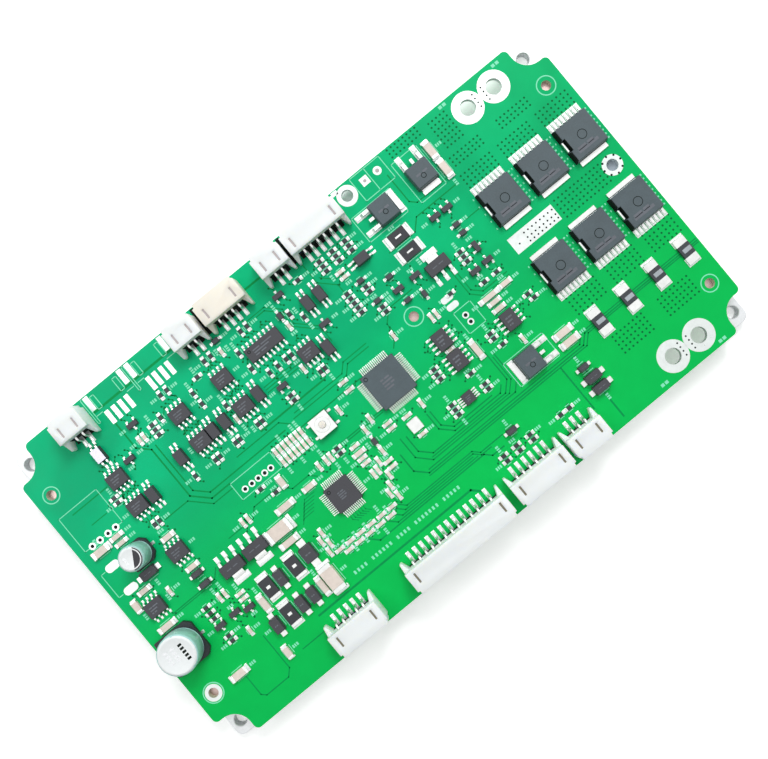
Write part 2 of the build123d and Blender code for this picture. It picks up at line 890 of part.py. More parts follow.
# Rectifiers, large resistors and the crystal
rectifier_bodies = []
rectifier_feet = []
for x, y, turn, length, width in diode_spots:
    body, feet = make_rectifier(length, width)
    rectifier_bodies.append(spot(x, y, turn) * body)
    rectifier_feet += placed_all(feet, [spot(x, y, turn)])
save("rectifier_bodies", rectifier_bodies)
save("rectifier_feet", rectifier_feet)
small_diode = moulded_small(small_diode_length, small_diode_width, small_diode_height)
small_diode_places = [spot(*s) for s in small_diode_spots]
save("small_diode_bodies", placed(small_diode, small_diode_places))
small_diode_lead = gull_lead(small_diode_height, small_diode_lead_width, small_diode_lead_reach)
small_diode_pieces = lead_rows(small_diode_lead, small_diode_length, small_diode_width, {0: 1, 180: 1})
save("small_diode_leads", placed_all(small_diode_pieces, small_diode_places))
resistor_places = [spot(*s) for s in power_resistor_spots]
resistor_core = power_resistor_length - 2 * power_resistor_end
resistor_body = block(resistor_core, power_resistor_width, power_resistor_height)
save("power_resistor_bodies", placed(resistor_body, resistor_places))
resistor_end = block(power_resistor_end, power_resistor_width, power_resistor_height)
ends = [Pos(side * (resistor_core + power_resistor_end) / 2, 0) * resistor_end for side in (-1, 1)]
save("power_resistor_ends", placed_all(ends, resistor_places))
save("crystal_can", [spot(*crystal_spot) * block(crystal_length, crystal_width, crystal_height)])

# Ceramic capacitors and the small chips
ceramics = []
for x, y, turn, length, width in ceramic_spots:
    ceramics.append(spot(x, y, turn) * block(length, width, ceramic_height_ratio * width))
save("ceramic_capacitors", ceramics)
small_chip = block(chip_length, chip_width, chip_height)
row_spots = [(x, y) for columns, rows in resistor_rows for x in columns for y in rows]
across = placed(small_chip, [spot(*s) for s in resistors_across + row_spots])
upright = placed(small_chip, [spot(*s, 90) for s in resistors_upright])
save("chip_resistors", across + upright)
filter_spots = [(x, y) for x in filter_columns for y in filter_rows]
across = placed(small_chip, [spot(*s) for s in capacitors_across])
upright = placed(small_chip, [spot(*s, 90) for s in capacitors_upright + filter_spots])
save("chip_capacitors", across + upright)

# Electrolytic capacitors
save("large_capacitor_base", [spot(*large_can_spot) * make_can_base(large_base_side)])
save("large_capacitor_can", [spot(*large_can_spot) * make_can(large_can_diameter, large_can_height)])
save("small_capacitor_base", [spot(*small_can_spot) * make_can_base(small_base_side)])
save("small_capacitor_can", [spot(*small_can_spot) * make_can(small_can_diameter, small_can_height)])
capacitor_feet = placed_all(make_can_feet(large_base_side), [spot(*large_can_spot)])
capacitor_feet += placed_all(make_can_feet(small_base_side), [spot(*small_can_spot)])
save("capacitor_feet", capacitor_feet)

# The reset switch
switch_place = spot(*switch_spot)
switch_base, switch_cover, switch_leaf, reset_button, switch_legs = make_switch()
save("switch_base", [switch_place * switch_base])
save("switch_cover", [switch_place * switch_cover])
save("switch_leaf", [switch_place * switch_leaf])
save("reset_button", [switch_place * reset_button])
save("switch_legs", [switch_place * leg for leg in switch_legs])

# The sockets and their contacts
for side, sockets, edge, turn in (
    ("front", front_sockets, -board_depth / 2, 0),
    ("rear", rear_sockets, board_depth / 2, 180),
):
    side_contacts = []
    for number, place in enumerate(socket_places(sockets, edge, turn), start=1):
        count = sockets[number - 1][1]
        save(f"{side}_socket_{number}", [place * make_socket(count)])
        side_contacts += [place * spot_on * make_contact() for spot_on in contact_places(count)]
    save(f"{side}_socket_contacts", side_contacts)
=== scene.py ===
# %% [markdown]
# # A battery management board
#
# The object is a green circuit board on an aluminium base plate, full of small soldered parts. Its
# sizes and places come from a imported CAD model. This lesson dresses that model: it rounds edges,
# bends leads, lays solder and print, and gives every surface a finish.

# %% Load the frame
import math

import bpy
from mathutils import Matrix, Vector
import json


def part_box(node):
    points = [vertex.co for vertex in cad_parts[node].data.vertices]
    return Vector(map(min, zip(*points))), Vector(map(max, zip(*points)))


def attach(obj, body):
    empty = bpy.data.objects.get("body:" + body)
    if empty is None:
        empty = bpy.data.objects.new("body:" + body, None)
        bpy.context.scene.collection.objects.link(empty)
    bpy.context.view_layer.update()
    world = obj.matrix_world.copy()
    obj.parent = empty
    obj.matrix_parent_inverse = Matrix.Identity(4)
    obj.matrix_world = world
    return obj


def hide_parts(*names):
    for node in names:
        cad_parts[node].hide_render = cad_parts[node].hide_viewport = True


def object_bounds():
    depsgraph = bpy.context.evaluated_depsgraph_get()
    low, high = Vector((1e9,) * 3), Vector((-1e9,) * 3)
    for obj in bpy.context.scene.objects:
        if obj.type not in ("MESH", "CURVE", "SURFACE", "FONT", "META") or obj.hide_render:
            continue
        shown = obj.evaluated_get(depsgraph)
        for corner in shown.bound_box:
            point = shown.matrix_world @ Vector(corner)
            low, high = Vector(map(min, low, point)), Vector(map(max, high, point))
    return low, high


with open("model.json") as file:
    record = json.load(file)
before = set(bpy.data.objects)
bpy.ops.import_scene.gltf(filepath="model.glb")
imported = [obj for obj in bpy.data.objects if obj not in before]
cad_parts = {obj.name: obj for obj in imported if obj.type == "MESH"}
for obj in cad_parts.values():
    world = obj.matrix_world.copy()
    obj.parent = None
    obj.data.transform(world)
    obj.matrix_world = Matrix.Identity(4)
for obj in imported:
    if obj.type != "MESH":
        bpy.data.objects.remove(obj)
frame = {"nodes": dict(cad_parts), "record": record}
cad_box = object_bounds()
mm = 0.001
print("CAD box", [round(v, 4) for corner in cad_box for v in corner])

# %% [markdown]
# ## Measures taken from the frame
#
# Every new piece sits on the board, so its top is the level that is used most. Places on the board
# are given in columns and rows of a layout grid, counted in millimetres from the front left corner,
# which is how a board designer reads them off the print.

# %% Board measures
board_low, board_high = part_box("circuit_board")
board_top = board_high.z
board_centre = (board_low + board_high) / 2
grid_depth = 88.7
row_stretch = (board_high.y - board_low.y) / (grid_depth * mm)


def on_grid(x, y, lift=0.0):
    """A place on the board from its column, its row and its lift over the mask, in millimetres."""
    return Vector((board_low.x + x * mm, board_low.y + y * mm * row_stretch, board_top + lift * mm))


def to_grid(place):
    """The column and row of a place on the board."""
    return ((place.x - board_low.x) / mm, (place.y - board_low.y) / mm / row_stretch)


print("board top at", round(board_top, 4), "m, rows stretched by", round(row_stretch, 4))

# %% [markdown]
# ## Camera
#
# The photograph looks straight down from about 0.2 m, turned by 40 degrees. Near as that is, tall
# parts lean away from the middle, so the height of the camera matters as much as its turn. A small
# shift puts the point under the camera where the photograph has it.

# %% Set the camera
camera_height = 0.2110
camera_offset = (0.00797, -0.00296)
camera_turn = (0.400, -0.161, -39.56)
lens_length = 40.78
frame_shift = (-0.0430, -0.0111)

camera_data = bpy.data.cameras.new("camera")
camera_data.lens = lens_length
camera_data.sensor_width = 36.0
camera_data.shift_x, camera_data.shift_y = frame_shift
camera_data.clip_start = 0.01
camera = bpy.data.objects.new("camera", camera_data)
bpy.context.scene.collection.objects.link(camera)
camera.location = (camera_offset[0], camera_offset[1], board_top + camera_height)
camera.rotation_euler = [math.radians(angle) for angle in camera_turn]
bpy.context.scene.camera = camera
bpy.context.scene.view_settings.view_transform = "Standard"
print("camera at", [round(v, 4) for v in camera.location])

# %% [markdown]
# ## Helpers for working by hand
#
# Blender's operators act on whatever is selected, so each step starts by clearing the selection and
# picking one object. These few helpers do that, hand a piece over to the body that carries it, and
# hide the CAD node that it stands for.

# %% Selection and hand-over


def pick(*objects):
    """Select only these objects and make the first one active."""
    bpy.ops.object.select_all(action="DESELECT")
    for item in objects:
        item.select_set(True)
    bpy.context.view_layer.objects.active = objects[0]


def settle(piece, finish, slot, *nodes, body="board"):
    """Give a piece its finish and its body, and let it stand for CAD nodes. The slot is not used."""
    piece.data.materials.clear()
    piece.data.materials.append(finish)
    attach(piece, body)
    if nodes:
        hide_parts(*nodes)


def copy_of(node, name):
    """A copy of a CAD node as one merged mesh, free of its body."""
    source = frame["nodes"][node]
    piece = source.copy()
    piece.data = source.data.copy()
    piece.name = name
    piece.parent = None
    for key in list(piece.keys()):
        del piece[key]
    bpy.context.scene.collection.objects.link(piece)
    piece.hide_viewport = False
    piece.hide_render = False
    piece.hide_set(False)
    pick(piece)
    bpy.ops.object.mode_set(mode="EDIT")
    bpy.ops.mesh.select_all(action="SELECT")
    bpy.ops.mesh.customdata_custom_splitnormals_clear()
    bpy.ops.mesh.remove_doubles(threshold=0.001 * mm)
    bpy.ops.mesh.dissolve_limited(angle_limit=math.radians(1))
    bpy.ops.object.mode_set(mode="OBJECT")
    return piece


def round_edges(piece, width, segments=2):
    """Round a piece's sharp edges by a width in millimetres and shade it smoothly."""
    pick(piece)
    bevel = piece.modifiers.new("edges", "BEVEL")
    bevel.width = width * mm
    bevel.segments = segments
    bevel.limit_method = "ANGLE"
    bevel.angle_limit = math.radians(35)
    bevel.use_clamp_overlap = True
    bpy.ops.object.modifier_apply(modifier="edges")
    bpy.ops.object.shade_smooth_by_angle(angle=math.radians(40))
    return piece


def pick_faces(piece, test):
    """Select only the faces of the active piece that pass a test, and leave it in edit mode."""
    bpy.ops.object.mode_set(mode="EDIT")
    bpy.ops.mesh.select_all(action="DESELECT")
    bpy.ops.object.mode_set(mode="OBJECT")
    for face in piece.data.polygons:
        face.select = test(face)
    bpy.ops.object.mode_set(mode="EDIT")


known_boxes = {}


def solid_boxes(node):
    """The lowest and highest corner of each separate solid of a CAD node."""
    if node in known_boxes:
        return known_boxes[node]
    copy_of(node, "scratch")
    bpy.ops.object.mode_set(mode="EDIT")
    bpy.ops.mesh.select_all(action="SELECT")
    bpy.ops.mesh.separate(type="LOOSE")
    bpy.ops.object.mode_set(mode="OBJECT")
    boxes = []
    for part in list(bpy.context.selected_objects):
        corners = [vertex.co for vertex in part.data.vertices]
        low = Vector(min(corner[axis] for corner in corners) for axis in range(3))
        high = Vector(max(corner[axis] for corner in corners) for axis in range(3))
        boxes.append((low, high))
        bpy.data.objects.remove(part)
    known_boxes[node] = boxes
    return boxes


print(len(frame["nodes"]), "CAD nodes to dress")

# %% [markdown]
# ## Light and floor
#
# A product photograph is lit by large soft lamps round a white sweep. One big lamp stands towards
# the top of the picture, so shadows fall towards its foot, and a weaker one puts a sheen on metal.
# Area lamps were chosen, because their size sets how soft a shadow is.

# %% Lamps
key_power = 2.6
key_size = 0.28
key_direction = Vector((0.50, 0.62, 0.95))
sheen_power = 0.7
sheen_direction = Vector((-0.55, 0.35, 1.15))
lamp_distance = 0.8


def add_lamp(name, direction, power, size):
    """A square lamp that looks at the board from a direction."""
    lamp_data = bpy.data.lights.new(name, "AREA")
    lamp_data.energy = power
    lamp_data.size = size
    lamp = bpy.data.objects.new(name, lamp_data)
    bpy.context.scene.collection.objects.link(lamp)
    lamp.location = board_centre + direction.normalized() * lamp_distance
    lamp.rotation_euler = (board_centre - lamp.location).to_track_quat("-Z", "Y").to_euler()


add_lamp("key_lamp", key_direction, key_power, key_size)
add_lamp("sheen_lamp", sheen_direction, sheen_power, key_size)
print(len(bpy.data.lights), "lamps at", lamp_distance, "m")

# %% [markdown]
# ## Sky
#
# The sky fills the rest, brighter on the lamp's side than opposite it, which keeps the walls of the
# black packages dark. It is plain white to the camera and to reflections, and dimmer as a light, so
# white parts don't clip. A picture of a studio could light the scene too, but two backgrounds and a
# Light Path node need no file.

# %% White sky
sky_direction = Vector((0.35, 0.45, 1.0))
sky_strength = 1.0
sky_colour = (0.97, 1.0, 0.99, 1)
sky_low = -0.1


def math_node(tree, operation, values=None):
    """A Math node in a tree, with fixed numbers in some of its inputs."""
    node = tree.nodes.new("ShaderNodeMath")
    node.operation = operation
    for number, value in (values or {}).items():
        node.inputs[number].default_value = value
    return node


world = bpy.data.worlds.new("white_sky")
bpy.context.scene.world = world
world.use_nodes = True
sky = world.node_tree.nodes
wires = world.node_tree.links
sky.clear()
path = sky.new("ShaderNodeLightPath")
seen = math_node(world.node_tree, "MAXIMUM")
seen_through = math_node(world.node_tree, "MAXIMUM")
dim_sky = sky.new("ShaderNodeBackground")
dim_sky.inputs["Color"].default_value = sky_colour
outward = sky.new("ShaderNodeTexCoord")
facing = sky.new("ShaderNodeVectorMath")
facing.operation = "DOT_PRODUCT"
facing.inputs[1].default_value = sky_direction.normalized()
soft_sky = sky.new("ShaderNodeMapRange")
soft_sky.inputs["From Min"].default_value = sky_low
soft_sky.inputs["From Max"].default_value = 1.0
soft_sky.inputs["To Min"].default_value = 0.0
soft_sky.inputs["To Max"].default_value = sky_strength
wires.new(outward.outputs["Generated"], facing.inputs[0])
wires.new(facing.outputs["Value"], soft_sky.inputs["Value"])
wires.new(soft_sky.outputs[0], dim_sky.inputs["Strength"])
white_sky = sky.new("ShaderNodeBackground")
white_sky.inputs["Color"].default_value = (1, 1, 1, 1)
white_sky.inputs["Strength"].default_value = 1.0
either = sky.new("ShaderNodeMixShader")
sky_out = sky.new("ShaderNodeOutputWorld")
wires.new(path.outputs["Is Camera Ray"], seen.inputs[0])
wires.new(path.outputs["Is Glossy Ray"], seen.inputs[1])
wires.new(seen.outputs[0], seen_through.inputs[0])
wires.new(path.outputs["Is Transmission Ray"], seen_through.inputs[1])
wires.new(seen_through.outputs[0], either.inputs["Fac"])
wires.new(dim_sky.outputs[0], either.inputs[1])
wires.new(white_sky.outputs[0], either.inputs[2])
wires.new(either.outputs[0], sky_out.inputs["Surface"])
print("the sky has", len(sky), "nodes")

# %% [markdown]
# ## Floor
#
# The floor is a sheet of white paper. It lies a hair under the plate, so the two surfaces don't
# fight, and glows a little to the camera, as paper that is lit from behind does. That keeps the
# shadow on it short and pale, which more light from above would do only by washing out the board.

# %% Floor
floor_size = 6
floor_colour = (0.96, 0.96, 0.96, 1)
floor_drop = 0.05
floor_glow = 0.32
bpy.ops.object.select_all(action="DESELECT")
bpy.ops.mesh.primitive_plane_add(size=floor_size, location=(0, 0, cad_box[0].z - floor_drop * mm))
floor = bpy.context.object
floor.name = "floor"
floor_finish = bpy.data.materials.new("floor_paper")
floor_finish.use_nodes = True
floor_shader = floor_finish.node_tree.nodes["Principled BSDF"]
floor_shader.inputs["Base Color"].default_value = floor_colour
floor_shader.inputs["Emission Color"].default_value = (1, 1, 1, 1)
floor_light = floor_finish.node_tree.nodes.new("ShaderNodeLightPath")
glow_level = math_node(floor_finish.node_tree, "MULTIPLY", {1: floor_glow})
floor_finish.node_tree.links.new(floor_light.outputs["Is Camera Ray"], glow_level.inputs[0])
floor_finish.node_tree.links.new(glow_level.outputs[0], floor_shader.inputs["Emission Strength"])
floor_shader.inputs["Roughness"].default_value = 0.9
floor_shader.inputs["Specular IOR Level"].default_value = 0.0
floor.data.materials.append(floor_finish)
print("floor at", round(floor.location.z / mm, 2), "mm")

# %% [markdown]
# ## A shared grain
#
# No real surface is one flat colour: plastic has faint flow marks, tin has dull patches, and print
# is uneven. One node group makes that from two sizes of noise. It puts out a colour, a roughness
# and a normal, and each finish sets its own amounts.

# %% Grain group


def srgb(red, green, blue):
    """A screen colour from 0 to 255 as the linear colour that shaders use."""
    levels = []
    for level in (red, green, blue):
        share = level / 255
        levels.append(share / 12.92 if share <= 0.04045 else ((share + 0.055) / 1.055) ** 2.4)
    return (*levels, 1.0)


def new_group(name, inputs, outputs):
    """An empty shader node group with named sockets, and its input and output nodes."""
    group = bpy.data.node_groups.new(name, "ShaderNodeTree")
    for label, kind, value in inputs:
        socket = group.interface.new_socket(name=label, in_out="INPUT", socket_type=kind)
        if value is not None:
            socket.default_value = value
    for label, kind in outputs:
        group.interface.new_socket(name=label, in_out="OUTPUT", socket_type=kind)
    return group, group.nodes.new("NodeGroupInput"), group.nodes.new("NodeGroupOutput")


grain, grain_in, grain_out = new_group(
    "grain",
    [
        ("Vector", "NodeSocketVector", None),
        ("Colour", "NodeSocketColor", (0.5, 0.5, 0.5, 1)),
        ("Scale", "NodeSocketFloat", 1000.0),
        ("Shade", "NodeSocketFloat", 0.1),
        ("Roughness", "NodeSocketFloat", 0.5),
        ("Dulling", "NodeSocketFloat", 0.1),
        ("Depth", "NodeSocketFloat", 0.00001),
    ],
    [("Color", "NodeSocketColor"), ("Roughness", "NodeSocketFloat"), ("Normal", "NodeSocketVector")],
)
broad_share = 0.12
fine = grain.nodes.new("ShaderNodeTexNoise")
fine.inputs["Detail"].default_value = 4
broad = grain.nodes.new("ShaderNodeTexNoise")
broad.inputs["Detail"].default_value = 2
broad_scale = math_node(grain, "MULTIPLY", {1: broad_share})
both = math_node(grain, "ADD")
centred = math_node(grain, "SUBTRACT", {1: 1.0})
shaded = math_node(grain, "MULTIPLY_ADD", {2: 1.0})
tinted = grain.nodes.new("ShaderNodeVectorMath")
tinted.operation = "SCALE"
dulled = math_node(grain, "MULTIPLY_ADD")
bumps = grain.nodes.new("ShaderNodeBump")
bumps.inputs["Strength"].default_value = 1.0
link = grain.links.new
link(grain_in.outputs["Vector"], fine.inputs["Vector"])
link(grain_in.outputs["Vector"], broad.inputs["Vector"])
link(grain_in.outputs["Scale"], fine.inputs["Scale"])
link(grain_in.outputs["Scale"], broad_scale.inputs[0])
link(broad_scale.outputs[0], broad.inputs["Scale"])
link(fine.outputs["Fac"], both.inputs[0])
link(broad.outputs["Fac"], both.inputs[1])
link(both.outputs[0], centred.inputs[0])
link(centred.outputs[0], shaded.inputs[0])
link(grain_in.outputs["Shade"], shaded.inputs[1])
link(grain_in.outputs["Colour"], tinted.inputs[0])
link(shaded.outputs[0], tinted.inputs["Scale"])
link(centred.outputs[0], dulled.inputs[0])
link(grain_in.outputs["Dulling"], dulled.inputs[1])
link(grain_in.outputs["Roughness"], dulled.inputs[2])
link(fine.outputs["Fac"], bumps.inputs["Height"])
link(grain_in.outputs["Depth"], bumps.inputs["Distance"])
link(tinted.outputs[0], grain_out.inputs["Color"])
link(dulled.outputs[0], grain_out.inputs["Roughness"])
link(bumps.outputs[0], grain_out.inputs["Normal"])
print("grain group has", len(grain.nodes), "nodes")

# %% [markdown]
# ## Finishes
#
# The parts are of a few stuffs: tinned metal, solder, epoxy, nylon, ceramic and aluminium. Each finish
# is a plain shader whose colour, roughness and normal come from the grain group. Nylon lets a little
# light in, so the two nylon finishes also scatter it below the surface.

# %% Finish maker
dulling = 0.2


def make_finish(
    name, colour, roughness, metallic=0.0, scale=900, shade=0.25, depth=0.004, specular=0.5
):
    """A finish that reads the grain group at its own scale, depth in millimetres."""
    material = bpy.data.materials.new(name)
    material.use_nodes = True
    tree = material.node_tree
    shader = tree.nodes["Principled BSDF"]
    shader.inputs["Metallic"].default_value = metallic
    shader.inputs["Specular IOR Level"].default_value = specular
    place = tree.nodes.new("ShaderNodeTexCoord")
    group = tree.nodes.new("ShaderNodeGroup")
    group.name = "grain"
    group.node_tree = grain
    group.inputs["Colour"].default_value = colour
    group.inputs["Scale"].default_value = scale
    group.inputs["Shade"].default_value = shade
    group.inputs["Roughness"].default_value = roughness
    group.inputs["Dulling"].default_value = dulling
    group.inputs["Depth"].default_value = depth * mm
    tree.links.new(place.outputs["Object"], group.inputs["Vector"])
    tree.links.new(group.outputs["Color"], shader.inputs["Base Color"])
    tree.links.new(group.outputs["Roughness"], shader.inputs["Roughness"])
    tree.links.new(group.outputs["Normal"], shader.inputs["Normal"])
    return material


plate_finish = make_finish("blasted_aluminium", srgb(226, 228, 230), 0.5, 0.8, scale=2500, depth=0.01)
pad_finish = make_finish("silicone_pad", srgb(150, 160, 170), 0.8)
tin_finish = make_finish("tinned_metal", srgb(238, 240, 238), 0.32, 1.0, shade=0.15)
solder_finish = make_finish("solder", srgb(232, 238, 236), 0.34, 0.6, shade=0.14)
black_finish = make_finish("black_moulding", srgb(62, 62, 68), 0.55, scale=3000, depth=0.008)
grey_finish = make_finish("grey_moulding", srgb(74, 87, 93), 0.5, scale=3000, shade=0.4, depth=0.008)
nylon_finish = make_finish("white_nylon", srgb(244, 247, 246), 0.45, scale=200, shade=0.05)
cream_finish = make_finish("cream_nylon", srgb(244, 235, 223), 0.45, scale=200, shade=0.05)
ceramic_finish = make_finish("tan_ceramic", srgb(228, 214, 204), 0.5, shade=0.3)
resistor_finish = make_finish("resistor_glaze", srgb(44, 46, 52), 0.35)
can_finish = make_finish("can_aluminium", srgb(172, 218, 214), 0.35, 0.1, scale=1500, shade=0.2)
lid_finish = make_finish("can_lid", srgb(238, 241, 242), 0.45, 0.0, scale=1500, shade=0.1)
scatter_weight = 0.5
scatter_spread = (1.0, 0.9, 0.7)
scatter_depth = 2.0
for moulded in (nylon_finish, cream_finish):
    moulded_shader = moulded.node_tree.nodes["Principled BSDF"]
    moulded_shader.inputs["Subsurface Weight"].default_value = scatter_weight
    moulded_shader.inputs["Subsurface Radius"].default_value = scatter_spread
    moulded_shader.inputs["Subsurface Scale"].default_value = scatter_depth * mm
spacer_finish = make_finish("nickelled_brass", srgb(205, 180, 176), 0.4, 1.0)
cut_finish = make_finish("mask_cut", srgb(0, 146, 76), 0.45, specular=0.1)
# Near-black: painted shade in socket openings, small holes and unlit transistor walls, and also dark
# marks on lids and packages.
shade_and_mark_finish = make_finish("painted_shade_and_marks", srgb(26, 34, 30), 0.7, specular=0.1)
# Painted shade for the plastic seen down the socket slots: paler for the rear sockets, deeper for the
# front ones.
shade_finish = make_finish("shaded_nylon", srgb(186, 176, 176), 0.7, specular=0.1)
deep_shade_finish = make_finish("deep_shade_nylon", srgb(128, 122, 104), 0.7, specular=0.1)
mark_finish = make_finish("laser_mark", srgb(98, 102, 110), 0.6, shade=0.5)
trimmed_finish = make_finish("trimmed_alloy", srgb(164, 172, 178), 0.45, 0.4)
element_finish = make_finish("shunt_element", srgb(52, 56, 62), 0.5)
glossy_lid_finish = make_finish("polished_lid", srgb(206, 202, 222), 0.2, 0.2, shade=0.05)
base_finish = make_finish("base_plastic", srgb(36, 38, 44), 0.5)
print_finish = make_finish("white_print", srgb(132, 230, 190), 0.6, scale=2500, shade=0.1)
# The darker green of the via dots is painted shade of their dimples.
via_shade_finish = make_finish("via_dimple_shade", srgb(0, 108, 56), 0.5, specular=0.1)
print(len(bpy.data.materials), "materials")

# %% [markdown]
# ## The solder mask
#
# The mask is a thin green lacquer over the copper. It is sprayed on, so its depth of colour changes
# softly from place to place: a broad noise darkens it in patches. Towards the rear left it turns from
# green to teal, a painted sheen of the lamps on the lacquer. The sawn edge of the board isn't
# lacquered and shows the bare laminate, so the finish looks at the direction of the surface.

# %% Solder mask finish
mask_green = srgb(0, 190, 84)
# Painted sheen: the teal that the lacquer turns to towards the rear left.
sheen_teal = srgb(0, 188, 128)
sheen_rows = (-0.026, 0.026)
sheen_columns = (0.230, -0.030)
patch_scale = 45
patch_levels = (0.40, 0.62)
patch_shade = 0.16
laminate_colour = srgb(196, 200, 176)

mask_finish = bpy.data.materials.new("solder_mask")
mask_finish.use_nodes = True
mask = mask_finish.node_tree
mask_shader = mask.nodes["Principled BSDF"]
mask_shader.inputs["Specular IOR Level"].default_value = 0.10
mask_place = mask.nodes.new("ShaderNodeTexCoord")


def mask_math(operation, first, second):
    """A Math node between two sockets or numbers, in the mask's material."""
    node = math_node(mask, operation)
    for socket, value in zip(node.inputs, (first, second)):
        if isinstance(value, (int, float)):
            socket.default_value = value
        else:
            mask.links.new(value, socket)
    return node.outputs[0]


def mask_range(value, low, high):
    """A smooth step from 0 at the low value to 1 at the high one, in the mask's material."""
    node = mask.nodes.new("ShaderNodeMapRange")
    node.interpolation_type = "SMOOTHSTEP"
    node.inputs["From Min"].default_value = low
    node.inputs["From Max"].default_value = high
    mask.links.new(value, node.inputs["Value"])
    return node.outputs[0]


def mask_mix(factor, first, second):
    """A colour mixed by a factor, in the mask's material."""
    node = mask.nodes.new("ShaderNodeMix")
    node.data_type = "RGBA"
    mask.links.new(factor, node.inputs["Factor"])
    for socket, value in ((node.inputs[6], first), (node.inputs[7], second)):
        if isinstance(value, tuple):
            socket.default_value = value
        else:
            mask.links.new(value, socket)
    return node.outputs[2]


patches = mask.nodes.new("ShaderNodeTexNoise")
patches.inputs["Scale"].default_value = patch_scale
patches.inputs["Detail"].default_value = 2
mask.links.new(mask_place.outputs["Object"], patches.inputs["Vector"])
across = mask.nodes.new("ShaderNodeSeparateXYZ")
mask.links.new(mask_place.outputs["Object"], across.inputs[0])
rearward = mask_range(across.outputs["Y"], *sheen_rows)
leftward = mask_range(across.outputs["X"], *sheen_columns)
busy = mask_math("MULTIPLY", rearward, mask_range(patches.outputs["Fac"], *patch_levels))
# Painted sheen: the share of teal grows towards the rear left.
sheen_share = mask_math("MULTIPLY", rearward, leftward)
lacquer_and_sheen = mask_mix(sheen_share, mask_green, sheen_teal)
patch_level = mask_math("SUBTRACT", 1.0, mask_math("MULTIPLY", busy, patch_shade))
mask_grain = mask.nodes.new("ShaderNodeGroup")
mask_grain.node_tree = grain
mask_grain.inputs["Scale"].default_value = 260
mask_grain.inputs["Shade"].default_value = 0.14
mask_grain.inputs["Roughness"].default_value = 0.36
mask_grain.inputs["Dulling"].default_value = dulling
mask_grain.inputs["Depth"].default_value = 0.003 * mm
mask.links.new(mask_place.outputs["Object"], mask_grain.inputs["Vector"])
mask.links.new(lacquer_and_sheen, mask_grain.inputs["Colour"])
darkened = mask.nodes.new("ShaderNodeVectorMath")
darkened.operation = "SCALE"
mask.links.new(mask_grain.outputs["Color"], darkened.inputs[0])
mask.links.new(patch_level, darkened.inputs["Scale"])
upright = mask.nodes.new("ShaderNodeSeparateXYZ")
mask.links.new(mask_place.outputs["Normal"], upright.inputs[0])
sawn = mask_math("LESS_THAN", mask_math("ABSOLUTE", upright.outputs["Z"], 0.0), 0.5)
mask.links.new(mask_mix(sawn, darkened.outputs[0], laminate_colour), mask_shader.inputs["Base Color"])
mask.links.new(mask_grain.outputs["Roughness"], mask_shader.inputs["Roughness"])
mask.links.new(mask_grain.outputs["Normal"], mask_shader.inputs["Normal"])
print("mask finish has", len(mask.nodes), "nodes")

# %% [markdown]
# ## Finishes of the CAD pieces
#
# Every piece of the record names a slot for its stuff. Each gets the finish of its slot first, so that
# a piece that is never modelled again, such as a spacer or the thermal pad, has its look already.

# %% Dress the plain pieces
plain_finishes = {
    "board_laminate": mask_finish,
    "plate_aluminium": plate_finish,
    "pad_silicone": pad_finish,
    "spacer_brass": spacer_finish,
    "button_plastic": cream_finish,
    "switch_plastic": base_finish,
    "switch_metal": tin_finish,
    "shunt_metal": tin_finish,
    "crystal_metal": tin_finish,
    "ceramic": ceramic_finish,
    "resistor_black": resistor_finish,
    "can_aluminium": can_finish,
    "base_plastic": base_finish,
    "contact_tin": tin_finish,
    "socket_cream": cream_finish,
    "socket_nylon": nylon_finish,
    "package_grey": grey_finish,
    "package_black": black_finish,
    "lead_tin": tin_finish,
}
for subpart in frame["record"]["subparts"]:
    node = frame["nodes"][subpart["node"]]
    node.data.materials.clear()
    node.data.materials.append(plain_finishes[subpart["material_slot"]])

# %% [markdown]
# ## One pattern, many copies
#
# The board carries hundreds of small parts in a few kinds. Each kind is modelled once, at its real
# size on the origin, and a copy of its mesh goes into the box of every CAD solid of that kind. A
# copy is stretched to its box, so nothing leaves the space that the CAD model gives it.

# %% Copies in boxes


def fill_boxes(pattern, whole, boxes, name, turns=None):
    """Copy a pattern of a whole size into each box and join the copies.

    Turns are a list, one number for all, or None for a turn that suits each box.
    """
    copies = []
    for number, (low, high) in enumerate(boxes):
        size = high - low
        if turns is None:
            turn = 90 if (size.y > size.x) == (whole[0] > whole[1]) else 0
        else:
            turn = turns[number] if isinstance(turns, list) else turns
        if turn % 180:
            size = Vector((size.y, size.x, size.z))
        stretch = Matrix.Diagonal([size[axis] / (whole[axis] * mm) for axis in range(3)] + [1])
        place = Matrix.Translation(((low.x + high.x) / 2, (low.y + high.y) / 2, low.z))
        copy = pattern.copy()
        copy.data = pattern.data.copy()
        copy.data.transform(place @ Matrix.Rotation(math.radians(turn), 4, "Z") @ stretch)
        bpy.context.scene.collection.objects.link(copy)
        copies.append(copy)
    bpy.data.objects.remove(pattern)
    pick(*copies)
    if len(copies) > 1:
        bpy.ops.object.join()
    piece = bpy.context.object
    piece.name = name
    return piece


def slab(name, size, place=(0, 0, 0), edge=0.0, segments=1):
    """A block with rounded edges, of a size and with the middle of its foot at a place."""
    bpy.ops.object.select_all(action="DESELECT")
    bpy.ops.mesh.primitive_cube_add(size=1, location=(0, 0, 0))
    piece = bpy.context.object
    piece.name = name
    piece.scale = [length * mm for length in size]
    piece.location = [place[0] * mm, place[1] * mm, (place[2] + size[2] / 2) * mm]
    bpy.ops.object.transform_apply(location=True, scale=True)
    if edge:
        round_edges(piece, edge, segments)
    return piece


def blocks(boxes, name, edge=0.0):
    """One block for each box, as a single piece."""
    return fill_boxes(slab("block", (1, 1, 1), edge=edge), (1, 1, 1), boxes, name, 0)


def flat_box(left, front, right, rear, foot, height):
    """The corners of a low box from its four sides, its foot and its height."""
    return Vector((left, front, foot)), Vector((right, rear, foot + height))


def joined(name, *pieces):
    """Several pieces as one."""
    pick(*pieces)
    bpy.ops.object.join()
    pieces[0].name = name
    return pieces[0]


